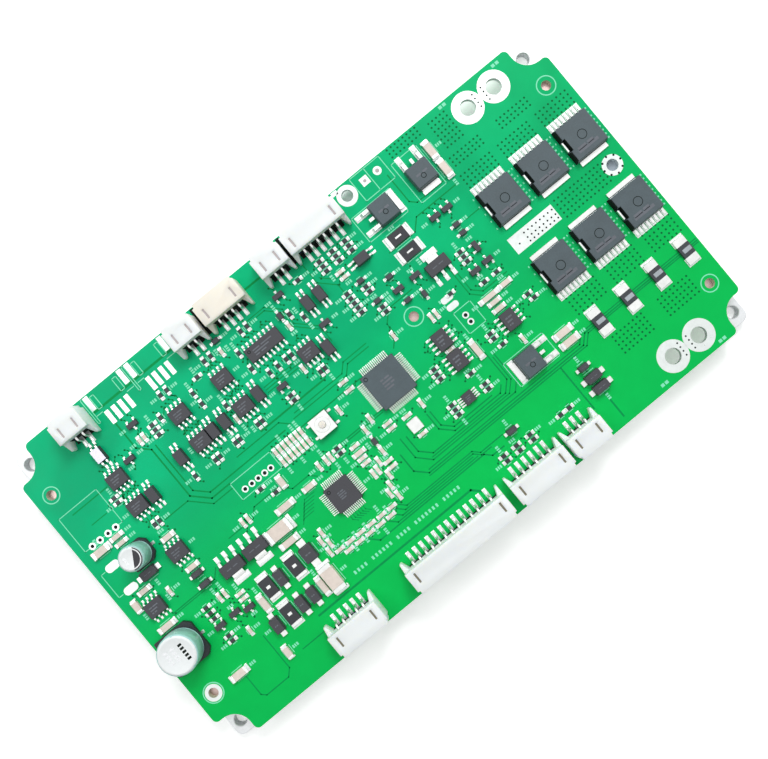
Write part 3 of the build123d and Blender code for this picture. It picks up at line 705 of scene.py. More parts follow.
def outward_turns(boxes, bodies):
    """For each lead, the turn that points from the body beside it out along the lead."""
    turns = []
    for low, high in boxes:
        middle = (low + high) / 2
        nearest = None
        for body_low, body_high in bodies:
            inside_x = min(max(middle.x, body_low.x), body_high.x)
            inside_y = min(max(middle.y, body_low.y), body_high.y)
            distance = (middle.xy - Vector((inside_x, inside_y))).length
            if nearest is None or distance < nearest[0]:
                nearest = (distance, body_low, body_high)
        body_low, body_high = nearest[1:]
        gaps = [low.x - body_high.x, low.y - body_high.y, body_low.x - high.x, body_low.y - high.y]
        turns.append(90 * gaps.index(max(gaps)))
    return turns


# %% [markdown]
# ## Chips
#
# A small resistor is a glazed black bar on white ceramic with a tinned cap on each end, and a
# capacitor is a tan bar with the same caps. The caps stand a hair proud of the bar. Both sit on two
# mounds of solder that climb the caps and shine, which is what the eye sees first from above.

# %% Resistors and capacitors
chip_size = (1.8, 0.95, 0.5)
chip_end = 0.32


def chip_bar(name, size, end, edge=0.03):
    """The bar of a chip between its two caps."""
    return slab(name, (size[0] - 2 * end, size[1] - 0.06, size[2] - 0.04), (0, 0, 0.02), edge)


def chip_caps(name, size, end, edge=0.05):
    """The two tinned caps of a chip."""
    middle = (size[0] - end) / 2
    caps = [slab(name, (end, size[1], size[2]), (side * middle, 0, 0), edge) for side in (-1, 1)]
    return joined(name, *caps)


def chip_solder(name, size, reach, width, height):
    """The two mounds of solder that a chip stands in, with rounded shoulders."""
    middle = size[0] / 2 + reach / 2 - 0.15
    mound_size = (reach + 0.3, width, height)
    mounds = [slab(name, mound_size, (side * middle, 0, 0), height * 0.45, 2) for side in (-1, 1)]
    return joined(name, *mounds)


chips = {
    "chip_resistors": (resistor_finish, "resistor_black", chip_size, chip_end, 0.5),
    "chip_capacitors": (ceramic_finish, "ceramic", chip_size, chip_end, 0.5),
    "ceramic_capacitors": (ceramic_finish, "ceramic", (4.7, 1.8, 1.08), 0.75, 0.5),
}
solder_pieces = []
filter_low = on_grid(45, 12)
filter_high = on_grid(79, 35)


def in_filter(box):
    """Whether a chip belongs to the input filter of the cell monitor, whose chips are all pale."""
    x, y = ((box[0] + box[1]) / 2).xy
    return filter_low.x < x < filter_high.x and filter_low.y < y < filter_high.y


for node, (bar_finish, slot_name, size, end, reach) in chips.items():
    boxes = solid_boxes(node)
    dark = [box for box in boxes if node != "chip_resistors" or not in_filter(box)]
    bars = fill_boxes(chip_bar("bar", size, end), size, dark, node + "_bars")
    settle(bars, bar_finish, slot_name, node)
    caps = fill_boxes(chip_caps("cap", size, end), size, boxes, node + "_caps")
    settle(caps, tin_finish, "lead_tin", node)
    mounds = chip_solder("mound", size, reach, size[1] * 1.12, size[2] * 0.4)
    solder_pieces.append(fill_boxes(mounds, size, boxes, node + "_solder"))
    print(node, len(boxes), "copies")
pale = [box for box in solid_boxes("chip_resistors") if in_filter(box)]
pale_bars = fill_boxes(chip_bar("bar", chip_size, chip_end), chip_size, pale, "filter_bars")
settle(pale_bars, ceramic_finish, "ceramic")
print(len(pale), "pale chips")

# %% [markdown]
# ## Bent leads
#
# A gull-wing lead is stamped from thin strip and bent twice, so that its foot lies flat in the
# solder. Its level part is a plane here, whose end is extruded along the bends, and Solidify gives
# it its thickness. The same strip serves every package, stretched to the reach and drop of each.

# %% Leads of the moulded packages
lead_size = (1.05, 0.42, 0.975)


def bent_strip(name, width, path, thickness):
    """A strip along (out, up) points in millimetres, whose first run is level, with a thickness."""
    bpy.ops.object.select_all(action="DESELECT")
    bpy.ops.mesh.primitive_plane_add(size=1)
    strip = bpy.context.object
    strip.name = name
    first, second = path[:2]
    strip.scale = ((second[0] - first[0]) * mm, width * mm, 1)
    strip.location = ((second[0] + first[0]) / 2 * mm, 0, first[1] * mm)
    bpy.ops.object.transform_apply(location=True, scale=True)
    far_end = strip.location.x + (second[0] * mm) - 0.001 * mm
    for vertex in strip.data.vertices:
        vertex.select = vertex.co.x > far_end
    for edge in strip.data.edges:
        edge.select = all(strip.data.vertices[index].select for index in edge.vertices)
    for face in strip.data.polygons:
        face.select = False
    bpy.ops.object.mode_set(mode="EDIT")
    bpy.ops.mesh.select_mode(type="EDGE")
    for start, end in zip(path[1:], path[2:]):
        step = ((end[0] - start[0]) * mm, 0, (end[1] - start[1]) * mm)
        bpy.ops.mesh.extrude_edges_move(TRANSFORM_OT_translate={"value": step})
    bpy.ops.object.mode_set(mode="OBJECT")
    solid = strip.modifiers.new("thickness", "SOLIDIFY")
    solid.thickness = thickness * mm
    solid.offset = 0
    bpy.ops.object.modifier_apply(modifier="thickness")
    bpy.ops.object.mode_set(mode="EDIT")
    bpy.ops.mesh.select_all(action="SELECT")
    bpy.ops.mesh.normals_make_consistent(inside=False)
    bpy.ops.object.mode_set(mode="OBJECT")
    return strip


def gull_strip(size, thickness=0.16):
    """A gull-wing lead in the box of a lead: out, down and out to its toe."""
    reach, width, height = size
    top = height - thickness / 2
    path = [
        (-reach / 2, top),
        (-reach * 0.22, top),
        (-reach * 0.06, top * 0.82),
        (reach * 0.06, thickness),
        (reach * 0.16, thickness / 2),
        (reach / 2, thickness / 2),
    ]
    return bent_strip("lead", width, path, thickness)


lead_nodes = {
    "main_controller_leads": "main_controller_body",
    "cell_monitor_leads": "cell_monitor_body",
    "gate_driver_leads": "gate_driver_body",
    "eight_pin_leads": "eight_pin_bodies",
    "reference_leads": "reference_body",
    "optocoupler_leads": "optocoupler_bodies",
    "small_transistor_leads": "small_transistor_bodies",
    "tab_regulator_leads": "tab_regulator_bodies",
    "small_diode_leads": "small_diode_bodies",
}
body_boxes = {node: solid_boxes(node) for node in lead_nodes.values()}
for node, body_node in lead_nodes.items():
    boxes = solid_boxes(node)
    turns = outward_turns(boxes, body_boxes[body_node])
    leads = fill_boxes(gull_strip(lead_size), lead_size, boxes, node + "_bent", turns)
    settle(leads, tin_finish, "lead_tin", node)
    fine_pitch = node in ("main_controller_leads", "cell_monitor_leads")
    mound_size = (0.85, 0.44 if fine_pitch else 0.60, 0.12)
    mound = slab("mound", mound_size, (0.42, 0, 0), 0.04, 2)
    solder_pieces.append(fill_boxes(mound, lead_size, boxes, node + "_solder", turns))
    print(node, len(boxes), "leads")

# %% [markdown]
# ## Sockets
#
# Each socket is an injection-moulded nylon shell with rounded corners. The CAD shell already has
# its walls, slots and wings, so a copy of it only needs its sharp edges rounded to catch the light.

# %% Socket shells
socket_nodes = sorted(name for name in frame["nodes"] if "_socket_" in name and "contacts" not in name)
for node in socket_nodes:
    shell = round_edges(copy_of(node, node + "_shell"), 0.14)
    is_cream = node == "rear_socket_3"
    finish = cream_finish if is_cream else nylon_finish
    settle(shell, finish, "socket_cream" if is_cream else "socket_nylon", node)
print(len(socket_nodes), "socket shells")

# %% [markdown]
# ## Contacts
#
# A contact is one pin of tinned brass. Inside the socket it is straight with a pointed tip, and
# behind the back wall it drops to a flat foot. The strip helper draws it in one go, because it is
# bent from square wire of an even thickness.

# %% Bent contacts
contact_boxes = {edge: solid_boxes(edge + "_socket_contacts") for edge in ("front", "rear")}
for edge, turn in (("front", 90), ("rear", 270)):
    boxes = contact_boxes[edge]
    size = boxes[0][1] - boxes[0][0]
    length, width, height = size.y / mm, size.x / mm, size.z / mm
    level = height - width / 2
    path = [
        (-length / 2, level),
        (length / 2 - 2.35, level),
        (length / 2 - 1.95, level - 0.35),
        (length / 2 - 1.45, width * 0.9),
        (length / 2 - 1.1, width / 2),
        (length / 2, width / 2),
    ]
    pin = round_edges(bent_strip("pin", width, path, width), 0.06, 1)
    pin_size = (length, width, height)
    contacts = fill_boxes(pin, pin_size, boxes, edge + "_contacts_bent", turn)
    settle(contacts, tin_finish, "contact_tin", edge + "_socket_contacts")
    land = slab("land", (3.2, 1.0, 0.1), (length / 2 - 1.3, 0, 0), 0.04, 2)
    solder_pieces.append(fill_boxes(land, pin_size, boxes, edge + "_contact_solder", turn))
    print(len(boxes), edge, "contacts")

# %% [markdown]
# ## Moulded packages
#
# Chip packages are pressed from black epoxy. Their edges are crisp but not razor sharp, and the
# mould leaves a small round dimple beside the first lead. The bodies are copies of the CAD solids
# with a fine bevel.

# %% Package bodies
package_edges = {
    "main_controller_body": 0.12,
    "cell_monitor_body": 0.12,
    "gate_driver_body": 0.10,
    "eight_pin_bodies": 0.10,
    "reference_body": 0.06,
    "optocoupler_bodies": 0.08,
    "small_transistor_bodies": 0.06,
    "small_diode_bodies": 0.06,
    "tab_regulator_bodies": 0.10,
    "rectifier_bodies": 0.10,
    "switch_transistor_bodies": 0.15,
}
for node, edge in package_edges.items():
    body = round_edges(copy_of(node, node + "_moulded"), edge, 1)
    is_pale = node in ("main_controller_body", "switch_transistor_bodies")
    settle(body, grey_finish if is_pale else black_finish, "package_black", node)
print(len(package_edges), "kinds of packages")

# %% [markdown]
# ## Rounded edges
#
# Sawn and stamped metal has a small radius at each edge, a quarter of a millimetre on the plate and a
# few hundredths on the small parts. That radius catches the light as a thin bright line. A bevel of
# one segment makes it, because more segments wouldn't show at this size.

# %% Plate, metal and plain parts
metal_edges = {
    "base_plate": (plate_finish, "plate_aluminium", 0.25),
    "power_transistor_leads": (tin_finish, "lead_tin", 0.08),
    "power_transistor_tabs": (tin_finish, "lead_tin", 0.08),
    "power_resistor_ends": (tin_finish, "lead_tin", 0.08),
    "power_resistor_bodies": (resistor_finish, "resistor_black", 0.05),
    "rectifier_feet": (tin_finish, "lead_tin", 0.06),
    "crystal_can": (tin_finish, "crystal_metal", 0.15),
    "capacitor_feet": (tin_finish, "lead_tin", 0.04),
    "large_capacitor_base": (base_finish, "base_plastic", 0.15),
    "small_capacitor_base": (base_finish, "base_plastic", 0.15),
    "switch_cover": (tin_finish, "switch_metal", 0.05),
    "switch_base": (base_finish, "switch_plastic", 0.05),
    "switch_legs": (tin_finish, "switch_metal", 0.04),
}
for node, (finish, slot_name, edge) in metal_edges.items():
    settle(round_edges(copy_of(node, node + "_finished"), edge, 1), finish, slot_name, node)
print(len(metal_edges), "nodes with rounded edges")

# %% [markdown]
# ## Smaller power transistors
#
# Three power transistors have two long leads, a cut stub between them and a flat tab. The long leads
# are bent strips like the others, only thicker. Stub and tab are flat metal, so blocks are enough.

# %% Leads of the smaller power transistors
switch_boxes = solid_boxes("switch_transistor_leads")
tall_boxes = [box for box in switch_boxes if box[1].z - box[0].z > 1 * mm]
flat_boxes = [box for box in switch_boxes if box[1].z - box[0].z <= 1 * mm]
switch_turns = outward_turns(tall_boxes, solid_boxes("switch_transistor_bodies"))
first_size = (tall_boxes[0][1] - tall_boxes[0][0]) / mm
switch_size = (max(first_size.x, first_size.y), min(first_size.x, first_size.y), first_size.z)
switch_lead = gull_strip(switch_size, 0.5)
long_leads = fill_boxes(switch_lead, switch_size, tall_boxes, "long_leads", switch_turns)
flat_metal = blocks(flat_boxes, "tabs_and_stubs", 0.04)
switch_metal = joined("switch_transistor_metal", long_leads, flat_metal)
settle(switch_metal, tin_finish, "lead_tin", "switch_transistor_leads")
print(len(tall_boxes), "long leads,", len(flat_boxes), "tabs and stubs")

# %% [markdown]
# ## Solder pads
#
# A tab, a lead or an end cap stands on a pad a little wider than itself, and the pad is full of bright
# solder. Each pad is a thin box under its metal, wider to both sides and longer away from the package.

# %% Pads under the large chips
pad_height = 0.06 * mm


def pad_under(metal, body, outward, sideways):
    """The box of a pad under a metal box: longer away from the body by one value, wider by the other."""
    low, high = metal[0].copy(), metal[1].copy()
    way = (metal[0] + metal[1] - body[0] - body[1]) / 2
    along, across = (0, 1) if abs(way.x) > abs(way.y) else (1, 0)
    low[across] -= sideways
    high[across] += sideways
    if way[along] > 0:
        high[along] += outward
    else:
        low[along] -= outward
    high.z = low.z + pad_height
    return low, high


def nearest_box(metal, bodies):
    """The body whose middle is nearest to the middle of a metal box."""
    return min(bodies, key=lambda body: (metal[0] + metal[1] - body[0] - body[1]).length)


pads = []
switch_bodies = solid_boxes("switch_transistor_bodies")
for box in flat_boxes:
    body = nearest_box(box, switch_bodies)
    if box[1].y - box[0].y > 3 * mm:
        spare = (body[1].y - body[0].y - box[1].y + box[0].y) / 2
        pads.append(pad_under(box, body, 0.1 * mm, spare))
for box in tall_boxes:
    pads.append(pad_under(box, nearest_box(box, switch_bodies), 0.3 * mm, 0.35 * mm))
resistor_bodies = solid_boxes("power_resistor_bodies")
for box in solid_boxes("power_resistor_ends"):
    pads.append(pad_under(box, nearest_box(box, resistor_bodies), 0.5 * mm, 0.1 * mm))
settle(blocks(pads, "solder_pads"), solder_finish, "lead_tin")
print(len(pads), "pads")

# %% [markdown]
# ## Button
#
# The button is cream plastic with a soft edge, and the only piece that moves. It rides on its own
# body, apart from the board. A rounded copy of the CAD solid is enough.

# %% Button
button = round_edges(copy_of("reset_button", "reset_button_finished"), 0.12, 3)
settle(button, cream_finish, "button_plastic", "reset_button", body="button")
print("button:", len(button.data.polygons), "faces")

# %% [markdown]
# ## Print, lands and via dots
#
# The flat artwork of the board is drawn as a printer would: strokes and rings a few hundredths of a
# millimetre thick, all in one piece for each ink. It is made of plain outlines, bars, rings and
# discs, drawn by a few helpers that count in the layout grid.

# %% Flat artwork helpers


def start_sheet(name):
    """An empty mesh, open in edit mode, for flat shapes."""
    bpy.ops.object.select_all(action="DESELECT")
    bpy.ops.mesh.primitive_plane_add(size=1)
    sheet = bpy.context.object
    sheet.name = name
    bpy.ops.object.mode_set(mode="EDIT")
    bpy.ops.mesh.select_all(action="SELECT")
    bpy.ops.mesh.delete(type="VERT")
    return sheet


def patch(x0, y0, x1, y1):
    """A flat rectangle between two grid corners."""
    low = on_grid(min(x0, x1), min(y0, y1))
    high = on_grid(max(x0, x1), max(y0, y1))
    size = high - low
    bpy.ops.mesh.primitive_plane_add(size=1, location=(low + high) / 2)
    bpy.ops.transform.resize(value=(size.x, size.y, 1), center_override=(low + high) / 2)


def stroke(x0, y0, x1, y1, width):
    """A flat bar of a width along a line that runs straight up or across the grid."""
    half = width / 2
    patch(min(x0, x1) - half, min(y0, y1) - half, max(x0, x1) + half, max(y0, y1) + half)


def outline(x0, y0, x1, y1, width=0.2):
    """Four strokes round a rectangle."""
    stroke(x0, y0, x1, y0, width)
    stroke(x0, y1, x1, y1, width)
    stroke(x0, y0, x0, y1, width)
    stroke(x1, y0, x1, y1, width)


def track(width, *points):
    """A flat line of a width through grid places, in straight runs."""
    for start, end in zip(points, points[1:]):
        start, end = on_grid(*start), on_grid(*end)
        run = end - start
        middle = (start + end) / 2
        bpy.ops.mesh.primitive_plane_add(size=1, location=middle)
        bpy.ops.transform.resize(value=(run.length + width * mm, width * mm, 1), center_override=middle)
        turn = -math.atan2(run.y, run.x)
        bpy.ops.transform.rotate(value=turn, orient_axis="Z", center_override=middle)


def round_patch(x0, y0, x1, y1, radius):
    """A flat rectangle with round corners."""
    patch(x0, y0, x1, y1)
    bpy.ops.mesh.bevel(offset=radius * mm, segments=5, affect="VERTICES")


def ring(x, y, outer, inner, count=40):
    """A flat ring of an outer and an inner radius."""
    middle = on_grid(x, y)
    bpy.ops.mesh.select_all(action="DESELECT")
    bpy.ops.mesh.primitive_circle_add(
        vertices=count, radius=outer * mm, fill_type="NOTHING", location=middle
    )
    bpy.ops.mesh.extrude_edges_move()
    share = inner / outer
    bpy.ops.transform.resize(value=(share, share, 1), center_override=middle)


def disc(x, y, radius, count=24):
    """A flat disc."""
    bpy.ops.mesh.primitive_circle_add(
        vertices=count, radius=radius * mm, fill_type="NGON", location=on_grid(x, y)
    )


def end_sheet(sheet, lift, thickness):
    """Leave edit mode, lift the flat shapes over the mask and give them their thickness."""
    bpy.ops.mesh.select_all(action="SELECT")
    bpy.ops.transform.translate(value=(0, 0, (lift + thickness / 2) * mm))
    bpy.ops.object.mode_set(mode="OBJECT")
    solid = sheet.modifiers.new("thickness", "SOLIDIFY")
    solid.thickness = thickness * mm
    solid.offset = 0
    pick(sheet)
    bpy.ops.object.modifier_apply(modifier="thickness")
    bpy.ops.object.mode_set(mode="EDIT")
    bpy.ops.mesh.select_all(action="SELECT")
    bpy.ops.mesh.normals_make_consistent(inside=False)
    bpy.ops.object.mode_set(mode="OBJECT")
    return sheet


# %% [markdown]
# ## Lands
#
# Where a bolt, a pin or a cable meets the board, the lacquer is left off and the copper is tinned.
# Rings surround the holes, and plain patches are bare pads. They could be painted on the mask's
# finish, but thin sheets of metal have crisp edges and catch the light by themselves.

# %% Lands round the holes
terminals = [(146.2, 83.5), (146.15, 5.45)]
terminal_pitch = 8.1
earth_holes = [(105.9, 85.6), (160.4, 50.5)]
header_holes = [(x, 59.4, 0.9, 0.45) for x in (4.3, 6.7, 9.2, 11.6)]
header_holes += [(x, 46.6, 0.85, 0.48) for x in (41.6, 43.7, 45.7, 47.7, 49.6)]
header_holes += [(109.6, y, 0.85, 0.48) for y in (45.1, 43.1)]
lands = start_sheet("tinned_lands")
for x, y in terminals:
    for side in (-1, 1):
        ring(x + side * terminal_pitch / 2, y, 4.1, 2.1, 48)
for x, y in earth_holes:
    ring(x, y, 2.65, 1.55)
patch(102.9, 87.4, 104.6, 88.5)
ring(4.4, 13.6, 2.15, 1.25)
for x, y, land_radius, hole_radius in header_holes:
    ring(x, y, land_radius, 0.4, 20)
patch(110.4, 84.6, 112.6, 86.8)
ring(115.4, 85.7, 1.1, 0.5, 20)
patch(128.9, 48.2, 142.6, 52.7)
for x in (25.6, 36.0, 38.4, 48.6):
    patch(x - 0.65, 84.4, x + 0.65, 88.4)
for x in (27.6, 29.6, 31.6, 33.6, 40.4, 42.3, 44.3, 46.3):
    patch(x - 0.6, 78.9, x + 0.6, 82.6)
for y in (51.0, 48.8):
    round_patch(106.95, y - 0.8, 110.25, y + 0.8, 0.7)
for y in (52.6, 45.6):
    round_patch(3.05, y - 1.05, 6.95, y + 1.05, 1.0)
for x in (133.7, 142.7, 151.7, 160.8):
    patch(x - 1.8, 19.3, x + 1.8, 21.6)
    patch(x - 1.8, 25.0, x + 1.8, 27.4)
settle(end_sheet(lands, 0.0, 0.04), solder_finish, "lead_tin")
print("lands:", len(lands.data.polygons), "faces")

# %% [markdown]
# ## White print
#
# The print is silk-screened ink over the lacquer: rings round the spacers' holes, outlines where
# parts go, and rows of short plain bars. It is a sheet two hundredths of a millimetre thick, which
# stays sharp from close by, as a picture on the surface wouldn't.

# %% White print
print_sheet = start_sheet("white_print")
ringed_holes = [
    (4.45, 75.2, 2.2),
    (160.3, 75.6, 2.5),
    (160.3, 13.4, 2.3),
    (99.7, 52.8, 2.5),
    (4.4, 13.6, 2.65),
]
for x, y, radius in ringed_holes:
    ring(x, y, radius, radius - 0.28)
outline(2.1, 59.4, 13.7, 69.5)
outline(39.5, 44.9, 51.8, 49.8)
outline(107.5, 40.9, 112.6, 47.2)
outline(108.7, 81.6, 117.8, 88.3)
outline(103.0, 73.3, 115.0, 80.6)
outline(118.8, 72.7, 126.5, 84.6)
outline(108.9, 23.1, 121.1, 30.1)
outline(24.3, 81.2, 24.9, 88.4)
outline(37.0, 81.2, 37.6, 88.4)
for x in (26.5, 33.5, 39.3, 46.6):
    outline(x, 83.9, x + 1.2, 87.6)
for x0, x1 in ((25.0, 26.8), (34.6, 36.6), (38.0, 39.7), (47.1, 49.4)):
    stroke(x0, 82.9, x1, 82.9, 0.2)
stroke(113.1, 81.6, 113.1, 88.3, 0.2)
group_lengths = (4, 6, 4, 7, 5)
bar_left = 49.0
bar_width = 0.55
bar_pitch = 1.1
group_gap = 1.2
for length in group_lengths:
    for number in range(length):
        patch(bar_left, 13.7, bar_left + bar_width, 14.6)
        bar_left += bar_pitch
    bar_left += group_gap
for x, y in ((135.2, 1.1), (152.9, 0.5), (152.9, 87.0), (136.5, 87.3)):
    patch(x, y + 0.1, x + 0.9, y + 0.9)
    patch(x + 1.2, y + 0.1, x + 2.1, y + 0.9)
stroke(1.4, 45.7, 1.4, 52.6, 0.2)
stroke(1.4, 52.6, 2.6, 52.6, 0.2)
stroke(1.4, 45.7, 2.6, 45.7, 0.2)
settle(end_sheet(print_sheet, 0.0, 0.02), print_finish, "board_laminate")
print("print:", len(print_sheet.data.polygons), "faces")

# %% [markdown]
# ## Via dots
#
# Rows of drilled and plated holes carry heat and current through the board. Lacquer covers them, so
# each shows as a small dimple, and its darker colour is painted shade. A field is a grid with its own
# number of columns and rows. Flat discs stand for them, because hundreds of drilled holes would cost
# far more faces than they show.

# %% Rows of via dots
via_fields = [
    (120.3, 85.8, 8, 3, 1.24, 1.1),
    (132.2, 79.2, 5, 7, 1.2, 1.22),
    (130.9, 74.5, 8, 3, 1.24, 1.15),
    (145.5, 74.4, 8, 3, 1.25, 1.15),
    (130.2, 68.2, 8, 4, 1.28, 1.2),
    (141.9, 68.2, 8, 4, 1.28, 1.2),
    (153.8, 68.2, 8, 4, 1.31, 1.2),
    (143.9, 47.8, 12, 5, 1.25, 1.25),
    (131.0, 27.8, 7, 5, 1.4, 1.22),
    (143.0, 27.8, 7, 5, 1.4, 1.22),
    (155.0, 27.8, 7, 5, 1.35, 1.22),
    (133.7, 13.5, 8, 5, 1.28, 1.22),
    (148.0, 13.5, 8, 5, 1.28, 1.22),
]
via_sheet = start_sheet("via_dots")
for x, y, columns, rows, step_x, step_y in via_fields:
    for column in range(columns):
        for row in range(rows):
            disc(x + column * step_x, y + row * step_y, 0.28, 8)
settle(end_sheet(via_sheet, 0.0, 0.01), via_shade_finish, "board_laminate")
print("via dots:", len(via_sheet.data.polygons), "faces")

# %% [markdown]
# ## Solder
#
# Paste is printed on all pads at once and melts in one oven, so all its mounds are one piece here.
# The cells above made them beside their leads and caps, and this one joins them.

# %% Solder as one piece
solder = joined("solder_joints", *solder_pieces)
settle(solder, solder_finish, "lead_tin")
print("solder:", len(solder.data.polygons), "faces")

# %% [markdown]
# ## Power transistors
#
# Each power transistor is a wide flat moulding with a slot in its left wall, where the heat tab
# shows as a bright sliver. That wall slopes, and every face that looks left is painted dark as shade.
# Slots and slopes are cut with Booleans, one cutter for all six bodies, before the edges are rounded.

# %% Slots and slopes
transistor_boxes = solid_boxes("power_transistor_bodies")
body_size = (transistor_boxes[0][1] - transistor_boxes[0][0]) / mm
slot_length = 3.4
slot_depth = 1.1
slope_side = 0.95


def at_side(box, x_low, x_high, y_low, y_high, z_low, z_high):
    """A smaller box inside or beside a box: x from its left side, y from its middle, z from its foot."""
    low, high = box
    middle = (low.y + high.y) / 2
    return (
        Vector((low.x + x_low * mm, middle + y_low * mm, low.z + z_low * mm)),
        Vector((low.x + x_high * mm, middle + y_high * mm, low.z + z_high * mm)),
    )


slot_half = slot_length / 2
slots = [at_side(box, -0.5, slot_depth, -slot_half, slot_half, 0.4, 9) for box in transistor_boxes]
cutter = blocks(slots, "slot_cutter")
wedge = slab("wedge", (slope_side, body_size.y + 1, slope_side), (0, 0, -slope_side / 2), 0)
wedge.data.transform(Matrix.Rotation(math.radians(45), 4, "Y"))
wedge.data.transform(Matrix.Translation((-body_size.x / 2 * mm, 0, body_size.z * mm)))
slopes = fill_boxes(wedge, tuple(body_size), transistor_boxes, "slope_cutter", 0)
bodies = copy_of("power_transistor_bodies", "power_transistor_moulded")
pick(bodies)
for name, tool in (("slots", cutter), ("slopes", slopes)):
    cut = bodies.modifiers.new(name, "BOOLEAN")
    cut.object = tool
    cut.operation = "DIFFERENCE"
    bpy.ops.object.modifier_apply(modifier=name)
    bpy.data.objects.remove(tool)
settle(round_edges(bodies, 0.12, 1), grey_finish, "package_grey", "power_transistor_bodies")
pick(bodies)
bpy.ops.object.shade_flat()
# Painted shade: the faces that look left get the near-black finish.
bodies.data.materials.append(shade_and_mark_finish)
bodies.active_material_index = 1
pick_faces(bodies, lambda face: face.normal.x < -0.5)
bpy.ops.object.material_slot_assign()
bpy.ops.object.mode_set(mode="OBJECT")
print("transistor body", [round(length, 2) for length in body_size], "mm")

# %% [markdown]
# ## Slivers and pads of the transistors
#
# The heat tab shows in the slot as a sliver of bright metal, and each of the eight leads stands on a
# pad of solder a little wider than itself. Both are plain blocks, since only their tops are seen.

# %% Slivers and wide pads
sliver_half = slot_length * 0.4
slivers = [at_side(box, 0.05, 0.45, -sliver_half, sliver_half, 0.4, 1.6) for box in transistor_boxes]
settle(blocks(slivers, "transistor_slivers", 0.03), tin_finish, "lead_tin")
pad_end = 0.16 * mm
pad_side = 0.4 * mm
wide_pads = []
for low, high in solid_boxes("power_transistor_leads"):
    low_x, high_x = low.x - pad_end, high.x + pad_end
    wide_pads.append(flat_box(low_x, low.y - pad_side, high_x, high.y + pad_side, low.z, pad_height))
settle(blocks(wide_pads, "transistor_pads"), solder_finish, "lead_tin")
print(len(slivers), "slivers and", len(wide_pads), "pads")

# %% [markdown]
# ## Dashes beside the transistors
#
# Between the leads and along the tab the print has a row of short dashes. One loop steps along the
# side of each body, with every second dash on the tab's side.

# %% Dashes
print_height = 0.02 * mm
dash_half = 0.22
dashes = []
for box in transistor_boxes:
    for step in range(9):
        place = body_size.y / 2 * (step / 4 - 1) * 0.92
        sides = [(body_size.x + 0.35, body_size.x + 0.85)]
        if step % 2 == 0:
            sides.append((-0.75, -0.45))
        for near, far in sides:
            low, high = at_side(box, near, far, place - dash_half, place + dash_half, 0, 0)
            dashes.append(flat_box(low.x, low.y, high.x, high.y, board_top, print_height))
settle(blocks(dashes, "transistor_dashes"), print_finish, "board_laminate")
print(len(dashes), "dashes")

# %% [markdown]
# ## Current shunts
#
# A shunt is a strip of resistance alloy with tinned copper ends. Its middle is dark, with a bare
# bright patch where it was trimmed to value, so each is made of ends, a dark element and a patch.

# %% Shunts
shunt_boxes = solid_boxes("current_shunts")
shunt_size = tuple((shunt_boxes[0][1] - shunt_boxes[0][0]) / mm)
shunt_long = shunt_size[1]
shunt_end = shunt_long * 0.29
end_rise = 0.77
end_size = (shunt_size[0], shunt_end, shunt_size[2] * end_rise)
end_middle = (shunt_long - shunt_end) / 2
shunt_ends = [slab("end", end_size, (0, side * end_middle, 0), 0.1) for side in (-1, 1)]
ends = fill_boxes(joined("ends", *shunt_ends), shunt_size, shunt_boxes, "shunt_ends", 0)
settle(ends, tin_finish, "shunt_metal", "current_shunts")
element_size = (shunt_size[0] * 0.98, shunt_long - 2 * shunt_end, shunt_size[2] * 0.92)
bar = slab("element", element_size, edge=0.06)
element = fill_boxes(bar, shunt_size, shunt_boxes, "shunt_elements", 0)
settle(element, element_finish, "shunt_metal")
bare = slab("bare", (shunt_size[0] * 0.72, 1.15, shunt_size[2] * 0.97), (0.2, 0, 0), 0.06)
bare_patches = fill_boxes(bare, shunt_size, shunt_boxes, "shunt_patches", 0)
settle(bare_patches, trimmed_finish, "shunt_metal")
print("shunt", [round(length, 2) for length in shunt_size], "mm")

# %% [markdown]
# ## Openings behind the sockets
#
# Under the ledge where its contacts come out, a socket is open to the board, and the shade in there
# looks nearly black between the pins. A thin dark panel on the back wall and a strip on the board
# below it are painted shade that gives that look without cutting nine shells.

# %% Painted shade in the openings
opening_margin = 1.5
shell_depth = 6.1
panel_thickness = 0.05
panel_lift = 0.05
front_floor = 0.1
front_height = 1.3
rear_floor = 1.25
rear_height = 3.3
floor_foot = board_top + 0.01 * mm
floor_height = 0.03 * mm
opening_shades = []
for node in socket_nodes:
    low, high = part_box(node)
    if node.startswith("front"):
        back_low, back_high = low.y + shell_depth * mm, low.y + (shell_depth + panel_thickness) * mm
        floor_low, floor_high = back_low, back_low + front_floor * mm
        height = front_height
    else:
        back_low, back_high = high.y - (shell_depth + panel_thickness) * mm, high.y - shell_depth * mm
        floor_low, floor_high = back_high - rear_floor * mm, back_high
        height = rear_height
    low_x, high_x = low.x + opening_margin * mm, high.x - opening_margin * mm
    opening_shades.append(flat_box(low_x, floor_low, high_x, floor_high, floor_foot, floor_height))
    panel_foot = board_top + panel_lift * mm
    panel_height = (height - panel_lift) * mm
    opening_shades.append(flat_box(low_x, back_low, high_x, back_high, panel_foot, panel_height))
print(len(opening_shades), "panels behind", len(socket_nodes), "sockets")

# %% [markdown]
# ## Slots in the sockets
#
# Two slots in the top of each socket let its plug latch. They are cut in the CAD shell, and what shows
# in them is the plastic below, in shadow. A small panel just under the top gives each slot that
# shade, darker at the front edge than at the rear.

